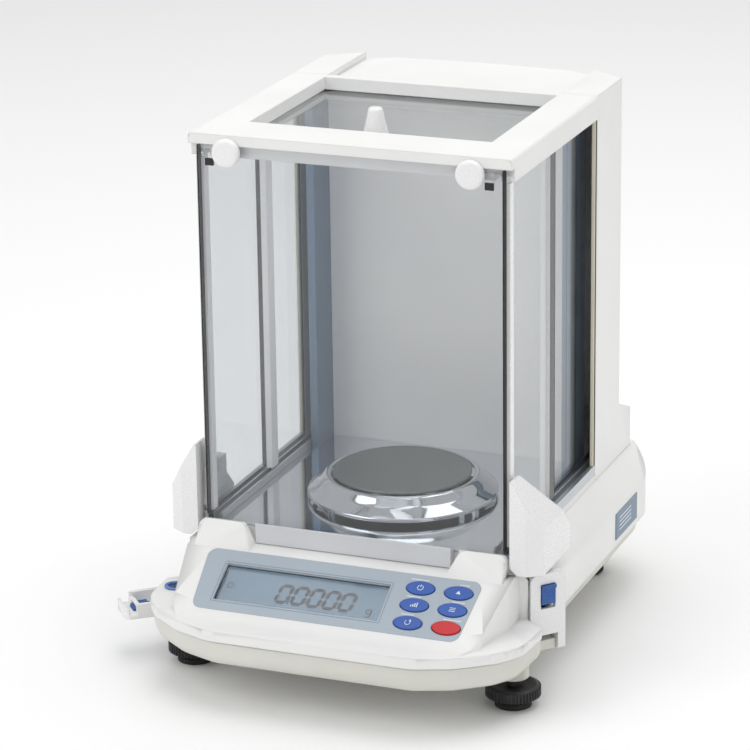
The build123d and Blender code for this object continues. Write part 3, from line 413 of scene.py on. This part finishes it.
def boxOutline(x0, x1, y0, y1):
    return [(x0, y0), (x1, y0), (x1, y1), (x0, y1)]


def roundedBox(x0, x1, y0, y1, rounding, steps=3):
    corners = [(x0, y0, rounding), (x1, y0, rounding), (x1, y1, rounding), (x0, y1, rounding)]
    return [tuple(p) for p in roundedOutline(corners, steps)]


# a flat ring with an outer and inner radius
def flatRing(build, radius, width, low, high, place, steps=32, gap=0.0):
    startStep = int(steps * gap / 2)
    inner = radius - width / 2
    outer = radius + width / 2
    for step in range(startStep, steps - startStep):
        a0 = 2 * math.pi * step / steps + math.pi / 2
        a1 = 2 * math.pi * (step + 1) / steps + math.pi / 2
        outline = [(inner * math.cos(a0), inner * math.sin(a0)), (outer * math.cos(a0), outer * math.sin(a0)),
                   (outer * math.cos(a1), outer * math.sin(a1)), (inner * math.cos(a1), inner * math.sin(a1))]
        plate(build, outline, low, high, place)
    return build


# merged copy of a CAD node whose arcs shade smoothly and whose flats stay flat
def smoothCopy(node, body):
    source = frame["nodes"][node]
    build = bmesh.new()
    build.from_mesh(source.data)
    bmesh.ops.remove_doubles(build, verts=build.verts, dist=1e-6)
    mesh = bpy.data.meshes.new(node + ".smooth")
    build.to_mesh(mesh)
    build.free()
    mesh.polygons.foreach_set("use_smooth", [True] * len(mesh.polygons))
    mesh.set_sharp_from_angle(angle=math.radians(28))
    holder = bpy.data.objects.new(node + ".holder", mesh)
    bpy.context.scene.collection.objects.link(holder)
    weighted = holder.modifiers.new("weighted", "WEIGHTED_NORMAL")
    weighted.keep_sharp = True
    weighted.weight = 80
    finished = bpy.data.meshes.new_from_object(holder.evaluated_get(bpy.context.evaluated_depsgraph_get()))
    bpy.data.objects.remove(holder)
    finished.name = node + ".soft"
    finished.materials.clear()
    return meshObject(node + ".soft", finished, finishes[slotOf[node]], body, [node])


bodyOf = {node: body for body, members in frame["record"]["behaviour"]["bodies"].items() for node in members}
smoothNodes = ["upper_casing", "bottom_casing", "rear_housing", "top_frame", "front_bar", "key_panel",
               "key_on_off", "key_calibrate", "key_range", "key_mode", "key_print", "key_re_zero",
               "foot_pad_left", "foot_pad_right", "rear_feet", "lever_left", "lever_right",
               "latch_left", "latch_right", "door_grip_left", "door_grip_right", "level_body"]
for node in smoothNodes:
    smoothCopy(node, bodyOf[node])
print("casings and mouldings smoothed")


# pan, ring and knobs are turned shapes
panShape = {"radius": 42.5, "top": 104.5, "rim": 2.2, "bossRadius": 7.0, "bossDepth": 8.0}
build = bmesh.new()
low = panShape["top"] - panShape["rim"]
turned(build,
       [(0, low - 3.9, 0), (3.05, low - 3.9 + 2.0, 0), (3.05, panShape["top"] - 8, 0), (7, panShape["top"] - 8, 0.4),
               (7, low, 0.3), (38.5, low, 0.6), (panShape["radius"], low + 0.5, 0.5),
               (panShape["radius"], panShape["top"] - 0.1, 0.7), (40.8, panShape["top"], 0.5),
               (40.2, panShape["top"] - 0.25, 0.3), (0, panShape["top"] - 0.25, 0)], (0, 0, 0), 128)
meshObject("panDish", cleanMesh(build, "panDish", 35), finishes["pan_steel"], "pan", ["pan"])

ringShape = {"inner": 44.1, "out": 58.5, "low": 91.0, "top": 103.4, "footRadius": 2.2, "footLow": 88.0,
             "footTop": 93.3, "footCircle": 55.1, "feet": 3}
build = bmesh.new()
turned(build,
       [(ringShape["inner"], 101.2, 0.2), (ringShape["inner"], 102.9, 0.6), (46.4, ringShape["top"], 0.7),
               (47.6, 102.6, 0.9), (51.4, 98.2, 1.6), (58.3, 92.8, 0.8),
               (ringShape["out"], ringShape["low"], 0.3),
               (57.0, ringShape["low"], 0.3), (50.6, 96.6, 1.4), (46.2, 101.4, 0.6)], (0, 0, 0), 128)
for step in range(ringShape["feet"]):
    angle = math.radians(90 + 360 / ringShape["feet"] * step)
    reach = ringShape["footCircle"] * mm
    foot = (reach * math.cos(angle), reach * math.sin(angle), 0)
    turned(build, [(0, ringShape["footLow"], 0), (ringShape["footRadius"], ringShape["footLow"], 0.4),
                   (ringShape["footRadius"], ringShape["footTop"], 0.3), (0, ringShape["footTop"], 0)],
                   foot, 20)
meshObject("breezeRing", cleanMesh(build, "breezeRing", 35), finishes["chrome_ring"], "breeze_ring",
           ["breeze_ring"])

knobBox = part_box("top_knob")
knobCentre = ((knobBox[0].x + knobBox[1].x) / 2, (knobBox[0].y + knobBox[1].y) / 2, knobBox[0].z)
build = bmesh.new()
turned(build, [(0, 0, 0), (9.4, 0, 0.4), (9.4, 1.4, 0.5), (7.9, 3.2, 1.2), (5.7, 12, 3.0), (4.3, 19.0, 0.5),
               (3.4, 20, 0.5), (0, 20, 0)], knobCentre, 64)
meshObject("topKnob", cleanMesh(build, "topKnob", 35), finishes["white_trim"], "top_door",
           ["top_knob"])

for side in ("left", "right"):
    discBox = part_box(f"thumb_screw_{side}")
    centre = Vector(((discBox[0].x + discBox[1].x) / 2, discBox[0].y, (discBox[0].z + discBox[1].z) / 2))
    build = bmesh.new()
    turned(build,
           [(0, 0, 0), (6.4, 0, 0.8), (8.2, 0.9, 0.9), (8.6, 2.6, 0.5), (8.4, 5.0, 0.4), (2.0, 5.0, 0.2),
                   (2.0, 22.6, 0.5), (0, 23.1, 0)], centre, 64, (0, 1, 0))
    meshObject(f"thumbScrew_{side}", cleanMesh(build, "thumbScrew", 35), finishes["white_trim"],
               f"{side}_thumb_screw", [f"thumb_screw_{side}"])
print("turned parts made")


# Geometry Nodes trees: one thing repeated round a circle, and one repeated along a line
def newTree(name, inputs):
    tree = bpy.data.node_groups.new(name, "GeometryNodeTree")
    tree.interface.new_socket("Geometry", in_out="INPUT", socket_type="NodeSocketGeometry")
    for label, kind in inputs:
        tree.interface.new_socket(label, in_out="INPUT", socket_type=kind)
    tree.interface.new_socket("Geometry", in_out="OUTPUT", socket_type="NodeSocketGeometry")
    return tree


def runTree(tree, name, startMesh, values):
    holder = bpy.data.objects.new(name + ".holder", startMesh)
    bpy.context.scene.collection.objects.link(holder)
    modifier = holder.modifiers.new("repeat", "NODES")
    modifier.node_group = tree
    for item in tree.interface.items_tree:
        if item.in_out == "INPUT" and item.name in values:
            modifier[item.identifier] = values[item.name]
    finished = bpy.data.meshes.new_from_object(holder.evaluated_get(bpy.context.evaluated_depsgraph_get()))
    bpy.data.objects.remove(holder)
    finished.name = name
    return finished


circleTree = newTree("repeatRound", [("Count", "NodeSocketInt"), ("Radius", "NodeSocketFloat"),
                                     ("Part", "NodeSocketObject"), ("Finish", "NodeSocketMaterial")])
given = addNode(circleTree, "NodeGroupInput")
ring = addNode(circleTree, "GeometryNodeMeshCircle", {}, {"Vertices": given.outputs["Count"],
               "Radius": given.outputs["Radius"]})
part = addNode(circleTree, "GeometryNodeObjectInfo", {}, {"Object": given.outputs["Part"]})
where = addNode(circleTree, "GeometryNodeInputPosition")
facing = addNode(circleTree, "FunctionNodeAlignRotationToVector", {"axis": "X"}, {"Vector": where.outputs[0]})
spread = addNode(circleTree, "GeometryNodeInstanceOnPoints", {}, {"Points": ring.outputs["Mesh"],
                 "Instance": part.outputs["Geometry"], "Rotation": facing.outputs["Rotation"]})
joined = addNode(circleTree, "GeometryNodeJoinGeometry")
circleTree.links.new(spread.outputs["Instances"], joined.inputs[0])
circleTree.links.new(given.outputs["Geometry"], joined.inputs[0])
real = addNode(circleTree, "GeometryNodeRealizeInstances", {}, {"Geometry": joined.outputs["Geometry"]})
painted = addNode(circleTree, "GeometryNodeSetMaterial", {}, {"Geometry": real.outputs["Geometry"],
                  "Material": given.outputs["Finish"]})
addNode(circleTree, "NodeGroupOutput", {}, {"Geometry": painted.outputs["Geometry"]})

lineTree = newTree("repeatAlong", [("Count", "NodeSocketInt"), ("Step", "NodeSocketVector"),
                                   ("Part", "NodeSocketObject"), ("Finish", "NodeSocketMaterial")])
given = addNode(lineTree, "NodeGroupInput")
row = addNode(lineTree, "GeometryNodeMeshLine", {}, {"Count": given.outputs["Count"],
              "Offset": given.outputs["Step"]})
part = addNode(lineTree, "GeometryNodeObjectInfo", {}, {"Object": given.outputs["Part"]})
spread = addNode(lineTree, "GeometryNodeInstanceOnPoints", {}, {"Points": row.outputs["Mesh"],
                 "Instance": part.outputs["Geometry"]})
joined = addNode(lineTree, "GeometryNodeJoinGeometry")
lineTree.links.new(spread.outputs["Instances"], joined.inputs[0])
lineTree.links.new(given.outputs["Geometry"], joined.inputs[0])
real = addNode(lineTree, "GeometryNodeRealizeInstances", {}, {"Geometry": joined.outputs["Geometry"]})
painted = addNode(lineTree, "GeometryNodeSetMaterial", {}, {"Geometry": real.outputs["Geometry"],
                  "Material": given.outputs["Finish"]})
addNode(lineTree, "NodeGroupOutput", {}, {"Geometry": painted.outputs["Geometry"]})


def scratchObject(name, build):
    mesh = bpy.data.meshes.new(name)
    build.to_mesh(mesh)
    build.free()
    thing = bpy.data.objects.new(name, mesh)
    bpy.context.scene.collection.objects.link(thing)
    return thing


# knurled levelling wheels: a turned drum with ribs repeated round it
wheelShape = {"ribs": 48, "radius": 16.5, "low": 5.3, "high": 13.3, "studRadius": 4.0, "studTop": 34.0}
for side in ("left", "right"):
    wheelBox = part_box(f"foot_wheel_{side}")
    centre = Vector(((wheelBox[0].x + wheelBox[1].x) / 2, (wheelBox[0].y + wheelBox[1].y) / 2, 0))
    drum = bmesh.new()
    r = wheelShape["radius"]
    turned(drum,
           [(1.95, 9.9, 0), (1.95, 5.3, 0.2), (13.0, 5.3, 0.4), (r - 0.9, 6.4, 0.8), (r - 0.9, 12.2, 0.8),
                  (13.6, 13.3, 0.4), (9.0, 12.9, 0.5), (4.0, 12.9, 0.3), (4.0, 34.0, 0.5), (0, 34.0, 0),
                  (0, 9.9, 0)], (0, 0, 0), 96)
    drumMesh = bpy.data.meshes.new("wheelDrum")
    drum.to_mesh(drumMesh)
    drum.free()
    rib = bmesh.new()
    plate(rib, [(-1.0, -0.55), (0.35, -0.55), (0.6, -0.25), (0.6, 0.25), (0.35, 0.55), (-1.0, 0.55)],
          6.5, 12.1)
    ribObject = scratchObject("wheelRib", rib)
    mesh = runTree(circleTree, f"footWheel_{side}", drumMesh,
                   {"Count": wheelShape["ribs"], "Radius": (r - 0.62) * mm, "Part": ribObject,
                    "Finish": finishes["black_plastic"]})
    bpy.data.objects.remove(ribObject)
    mesh.transform(Matrix.Translation(centre))
    build = bmesh.new()
    build.from_mesh(mesh)
    mesh = cleanMesh(build, f"footWheel_{side}", 35)
    meshObject(f"footWheel_{side}", mesh, finishes["black_plastic"], f"{side}_foot_wheel",
               [f"foot_wheel_{side}"])
print("levelling wheels made")


# console plane: its upward direction is the way the keys are pressed out
pressAxis = next(j["axis"] for j in frame["joints"] if j["name"] == "on_off_key_press")
panelUp = Vector(pressAxis).normalized()
panelBack = Vector((0, panelUp.z, -panelUp.y))
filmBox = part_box("key_panel")
filmThickness = 0.8 * mm
topEdge = Vector((0, filmBox[1].y + panelUp.y * filmThickness, filmBox[1].z))
frontEdge = Vector((0, filmBox[0].y, filmBox[0].z + panelUp.z * filmThickness))
panelCentre = (topEdge + frontEdge) / 2
panelPlace = Matrix(((1, 0, panelUp.x, panelCentre.x), (0, panelBack.y, panelUp.y, panelCentre.y),
                     (0, panelBack.z, panelUp.z, panelCentre.z), (0, 0, 0, 1)))


# place of a CAD node's centre on the console plane, in millimetres
def onPanel(node):
    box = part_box(node)
    centre = (box[0] + box[1]) / 2
    local = panelPlace.inverted() @ centre
    return local.x * 1000, local.y * 1000


lcdCentre = onPanel("lcd_window")
display = {"faceDepth": -3.06, "digits": 5, "digitWidth": 7.0, "digitHeight": 12.2, "pitch": 10.0,
           "stroke": 2.5, "slant": 0.12, "firstDigit": (-15.4, -7.5), "thickness": 0.05}


# one bar of a digit, from a to b with pointed ends
def digitBar(build, a, b, stroke, slant):
    start, end = Vector(a), Vector(b)
    along = (end - start).normalized()
    across = Vector((-along.y, along.x))
    half = stroke / 2
    start = start + along * 0.18
    end = end - along * 0.18
    corners = [start, start + along * half + across * half, end - along * half + across * half, end,
               end - along * half - across * half, start + along * half - across * half]
    outline = [(c.x + c.y * slant, c.y) for c in corners]
    plate(build, list(reversed(outline)), 0, display["thickness"])


digit = bmesh.new()
w, h, s = display["digitWidth"], display["digitHeight"], display["stroke"]
bars = [((0, 0), (w, 0)), ((0, h), (w, h)), ((0, 0), (0, h / 2)), ((0, h / 2), (0, h)),
        ((w, 0), (w, h / 2)), ((w, h / 2), (w, h))]
for a, b in bars:
    digitBar(digit, a, b, s, display["slant"])
digitObject = scratchObject("zeroDigit", digit)
startX = lcdCentre[0] + display["firstDigit"][0]
startY = lcdCentre[1] + display["firstDigit"][1]
extras = bmesh.new()
pointX = display["digitWidth"] + 1.35
plate(extras, boxOutline(pointX - 0.6, pointX + 0.6, -0.6, 0.6), 0, display["thickness"])
# stability ring at the left and the unit mark at the right
flatRing(extras, 1.9, 0.8, 0, display["thickness"], Matrix.Translation(Vector((-30.6, 7.5, 0)) * mm), 20)
unitX = display["pitch"] * 5 + 9.0
flatRing(extras, 1.6, 0.75, 0, display["thickness"], Matrix.Translation(Vector((unitX, 1.6, 0)) * mm), 18)
plate(extras, boxOutline(unitX + 1.2, unitX + 2.0, -1.9, 3.2), 0, display["thickness"])
plate(extras, boxOutline(unitX - 1.2, unitX + 1.6, -2.5, -1.7), 0, display["thickness"])
extrasMesh = bpy.data.meshes.new("displayExtras")
extras.to_mesh(extrasMesh)
extras.free()
mesh = runTree(lineTree, "displayDigits", extrasMesh, {"Count": display["digits"],
               "Step": (display["pitch"] * mm, 0, 0), "Part": digitObject, "Finish": inkDark})
bpy.data.objects.remove(digitObject)
mesh.transform(panelPlace @ Matrix.Translation(Vector((startX, startY, display["faceDepth"])) * mm))
meshObject("displayDigits", mesh, inkDark, "base")
print("display digits made")


# marks on the key tops
keyTop = 0.82
symbolTop = 0.86
keySlots = ["key_on_off", "key_calibrate", "key_range", "key_mode", "key_print"]


def keyMark(node, draw):
    build = bmesh.new()
    draw(build)
    x, y = keyCentres[node]
    mesh = cleanMesh(build, "mark_" + node, 60)
    mesh.transform(panelPlace @ Matrix.Translation(Vector((x, y, 0)) * mm))
    meshObject("mark_" + node, mesh, inkPale, bodyOf[node])


# the key's centre is the middle of its flat top, found from its highest ring of points
keyCentres = {}
for node in keySlots + ["key_re_zero"]:
    inverse = panelPlace.inverted()
    points = [inverse @ v.co for v in frame["nodes"][node].data.vertices]
    height = max(p.z for p in points)
    crown = [p for p in points if p.z > height - 0.1 * mm]
    keyCentres[node] = ((max(p.x for p in crown) + min(p.x for p in crown)) * 500,
                        (max(p.y for p in crown) + min(p.y for p in crown)) * 500)


def powerMark(build):
    flatRing(build, 1.7, 0.45, keyTop, symbolTop, Matrix.Identity(4), 28, 0.2)
    plate(build, boxOutline(-0.22, 0.22, 0.5, 2.3), keyTop, symbolTop)


def triangleMark(build):
    plate(build, [(-1.5, -1.1), (1.5, -1.1), (0, 1.4)], keyTop, symbolTop)


def rangeMark(build):
    for x, length in ((-1.8, 1.2), (-0.6, 1.9), (0.6, 2.6), (1.8, 3.2)):
        plate(build, boxOutline(x - 0.32, x + 0.32, -1.6, -1.6 + length), keyTop, symbolTop)


def pageMark(build):
    for y in (-1.2, 0.0, 1.2):
        plate(build, boxOutline(-1.8, 1.8, y - 0.2, y + 0.2), keyTop, symbolTop)


def loopMark(build):
    flatRing(build, 1.6, 0.45, keyTop, symbolTop, Matrix.Identity(4), 28, 0.25)
    plate(build, [(0.5, 0.9), (2.1, 1.0), (1.1, 2.4)], keyTop, symbolTop)


for node, draw in (("key_on_off", powerMark), ("key_calibrate", triangleMark), ("key_range", rangeMark),
                   ("key_mode", pageMark), ("key_print", loopMark)):
    keyMark(node, draw)

# plain bars above the keys and a thin frame line round the window, printed on the film
build = bmesh.new()
printLow, printHigh = 0.01, 0.05
labelBars = {"key_on_off": 11, "key_calibrate": 6, "key_range": 9, "key_mode": 8, "key_print": 8,
             "key_re_zero": 11}
for node, width in labelBars.items():
    x, y = keyCentres[node]
    offset = -2.0 if x < 60 else 2.0
    plate(build, boxOutline(x + offset - width / 2, x + offset + width / 2, y + 5.75, y + 6.35), printLow,
          printHigh, Matrix.Identity(4))
mesh = cleanMesh(build, "panelPrint", 60)
mesh.transform(panelPlace)
meshObject("panelPrint", mesh, inkPale, "base")
build = bmesh.new()
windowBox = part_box("lcd_window")
wx0, wx1 = windowBox[0].x * 1000 - 1.0, windowBox[1].x * 1000 + 1.0
wy0, wy1 = lcdCentre[1] - 14.6, lcdCentre[1] + 14.6
lineWidth = 0.35
for x0, x1, y0, y1 in ((wx0, wx1, wy1, wy1 + lineWidth), (wx0, wx1, wy0 - lineWidth, wy0),
                       (wx0 - lineWidth, wx0, wy0, wy1), (wx1, wx1 + lineWidth, wy0, wy1)):
    plate(build, boxOutline(x0, x1, y0, y1), printLow, printHigh)
mesh = cleanMesh(build, "windowLine", 60)
mesh.transform(panelPlace)
meshObject("windowLine", mesh, inkLine, "base")
print("console marks made")


# strips: black strips that paint the dark look of the glass edges (painted shade), and brushes that run up the glass
# edges
def strip(name, x0, x1, y0, y1, z0, z1, rounding, material, body):
    build = bmesh.new()
    plate(build, roundedBox(x0, x1, y0, y1, rounding), z0, z1)
    meshObject(name, cleanMesh(build, name, 35), material, body)


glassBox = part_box("front_glass")
gx, gy0, gy1 = glassBox[1].x * 1000, glassBox[0].y * 1000, glassBox[1].y * 1000
gz0, gz1 = glassBox[0].z * 1000, glassBox[1].z * 1000
for sign, side in ((-1, "left"), (1, "right")):
    xa, xb = sorted((sign * (gx + 0.02), sign * (gx + 1.0)))
    # black strip along the front glass's side edge: painted shade standing in for the dark edge of the glass
    strip(f"glassEdgeSeal_{side}", xa, xb, gy0 + 0.2, gy1 + 0.6, gz0 + 4, gz1 - 0.6, 0.3, edgeShadeBlack, "base")
    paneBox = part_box(f"front_pane_{side}")
    rear = paneBox[1].y * 1000
    x0, x1 = paneBox[0].x * 1000, paneBox[1].x * 1000
    # black strip along the door pane's rear edge: painted shade standing in for the dark edge of the glass
    strip(f"paneEdgeSeal_{side}", x0 - 0.05, x1 + 0.05, rear + 0.02, rear + 0.9, paneBox[0].z * 1000 + 5,
          paneBox[1].z * 1000 - 5, 0.3, edgeShadeBlack, f"{side}_front_door")
    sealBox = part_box("column_seals")
    sx0, sx1 = sealBox[1].x * 1000 - 2.1, sealBox[1].x * 1000
    xa, xb = sorted((sign * sx0, sign * sx1))
    strip(f"housingBrush_{side}", xa, xb, sealBox[0].y * 1000 - 2.0, sealBox[0].y * 1000 - 0.02,
          sealBox[0].z * 1000, sealBox[1].z * 1000, 0.4, creamBrush, "base")
print("seals made")


# bubble level: the ring line printed on its glass
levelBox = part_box("level_body")
levelCentre = Vector(((levelBox[0].x + levelBox[1].x) / 2, (levelBox[0].y + levelBox[1].y) / 2, 0))
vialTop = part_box("level_vial")[1].z * 1000
build = bmesh.new()
turned(build, [(1.75, 0, 0), (2.15, 0, 0), (2.15, 0.04, 0), (1.75, 0.04, 0)],
       levelCentre + Vector((0, 0, (vialTop + 0.02) * mm)), 40)
meshObject("levelRingLine", cleanMesh(build, "levelRingLine", 35), inkDark, "base")


# rating plate with plain bars in place of print
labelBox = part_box("rating_plate")
barPart = bmesh.new()
plate(barPart, [(-15, -0.35), (9, -0.35), (9, 0.35), (-15, 0.35)], 0, 0.05)
barObject = scratchObject("labelBar", barPart)
emptyMesh = bpy.data.meshes.new("labelStart")
mesh = runTree(lineTree, "ratingBars", emptyMesh, {"Count": 4, "Step": (0, -2.6 * mm, 0), "Part": barObject,
               "Finish": inkPale})
bpy.data.objects.remove(barObject)
labelCentre = (labelBox[0] + labelBox[1]) / 2
labelPlace = Matrix(((0, 0, 1, labelBox[1].x + 0.01 * mm), (1, 0, 0, labelCentre.y),
                     (0, 1, 0, labelCentre.z + 4.0 * mm), (0, 0, 0, 1)))
mesh.transform(labelPlace)
meshObject("ratingBars", mesh, inkPale, "base")
print("small marks made")


# studio: pale sweep, broad soft lamps, camera
def lamp(name, place, target, size, power, colour="#FFFFFF"):
    data = bpy.data.lights.new(name, "AREA")
    data.shape = "RECTANGLE"
    data.size, data.size_y = size
    data.energy = power
    data.color = hexToLinear(colour)[:3]
    thing = bpy.data.objects.new(name, data)
    bpy.context.scene.collection.objects.link(thing)
    thing.location = place
    thing.rotation_euler = (Vector(target) - Vector(place)).to_track_quat("-Z", "Y").to_euler()
    return thing


studio = {"floorColour": "#FBFBFB", "worldStrength": 0.60, "keyPower": 16, "fillPower": 3, "topPower": 23,
          "keyPlace": (-1.4, -1.6, 1.9), "fillPlace": (1.9, -1.2, 1.0), "topPlace": (0.2, 0.4, 2.2),
          "aim": (0, 0, 0.15)}
floorBuild = bmesh.new()
plate(floorBuild, boxOutline(-9000, 9000, -9000, 9000), -20, -0.2)
floorMaterial, floorTree = newMaterial("paperSweep")
floorCoords = addNode(floorTree, "ShaderNodeTexCoord")
floorNoise = addNode(floorTree, "ShaderNodeTexNoise", {},
                     {"Vector": floorCoords.outputs["Object"], "Scale": 40.0})
floorRough = addNode(floorTree, "ShaderNodeMapRange", {}, {"Value": floorNoise.outputs["Fac"],
                     "To Min": 0.75, "To Max": 0.9})
floorShader = addNode(floorTree, "ShaderNodeBsdfPrincipled", {},
                      {"Base Color": hexToLinear(studio["floorColour"]),
                      "Roughness": floorRough.outputs["Result"], "Specular IOR Level": 0.1})
finishMaterial(floorTree, floorShader.outputs["BSDF"])
floorMesh = bpy.data.meshes.new("studioFloor")
floorBuild.to_mesh(floorMesh)
floorBuild.free()
floorMesh.materials.append(floorMaterial)
floor = bpy.data.objects.new("studioFloor", floorMesh)
bpy.context.scene.collection.objects.link(floor)

lamp("keyLamp", studio["keyPlace"], studio["aim"], (1.6, 1.6), studio["keyPower"])
lamp("fillLamp", studio["fillPlace"], studio["aim"], (1.4, 1.4), studio["fillPower"])
lamp("topLamp", studio["topPlace"], (0, 0, 0.1), (2.0, 2.0), studio["topPower"])

world = bpy.data.worlds.new("studioWorld")
bpy.context.scene.world = world
world.use_nodes = True
world.node_tree.nodes.clear()
sky = addNode(world.node_tree, "ShaderNodeBackground", {}, {"Color": (1, 1, 1, 1),
              "Strength": studio["worldStrength"]})
addNode(world.node_tree, "ShaderNodeOutputWorld", {}, {"Surface": sky.outputs["Background"]})
bpy.context.scene.view_settings.view_transform = "Standard"

view = {"azimuth": 21.611, "elevation": 18.346, "roll": -0.787, "lens": 168.68,
        "location": (0.7284, -1.8828, 0.8343)}
azimuth, elevation, roll = (math.radians(view[k]) for k in ("azimuth", "elevation", "roll"))
back = Vector((math.sin(azimuth) * math.cos(elevation), -math.cos(azimuth) * math.cos(elevation),
               math.sin(elevation)))
right = Vector((math.cos(azimuth), math.sin(azimuth), 0))
up = back.cross(right)
rightRolled = right * math.cos(roll) + up * math.sin(roll)
upRolled = up * math.cos(roll) - right * math.sin(roll)
cameraData = bpy.data.cameras.new("studioCamera")
cameraData.lens = view["lens"]
cameraData.sensor_width = 36
camera = bpy.data.objects.new("studioCamera", cameraData)
bpy.context.scene.collection.objects.link(camera)
camera.matrix_world = Matrix(((rightRolled.x, upRolled.x, back.x, view["location"][0]),
                              (rightRolled.y, upRolled.y, back.y, view["location"][1]),
                              (rightRolled.z, upRolled.z, back.z, view["location"][2]), (0, 0, 0, 1)))
bpy.context.scene.camera = camera
print("studio made")

bpy.context.view_layer.update()
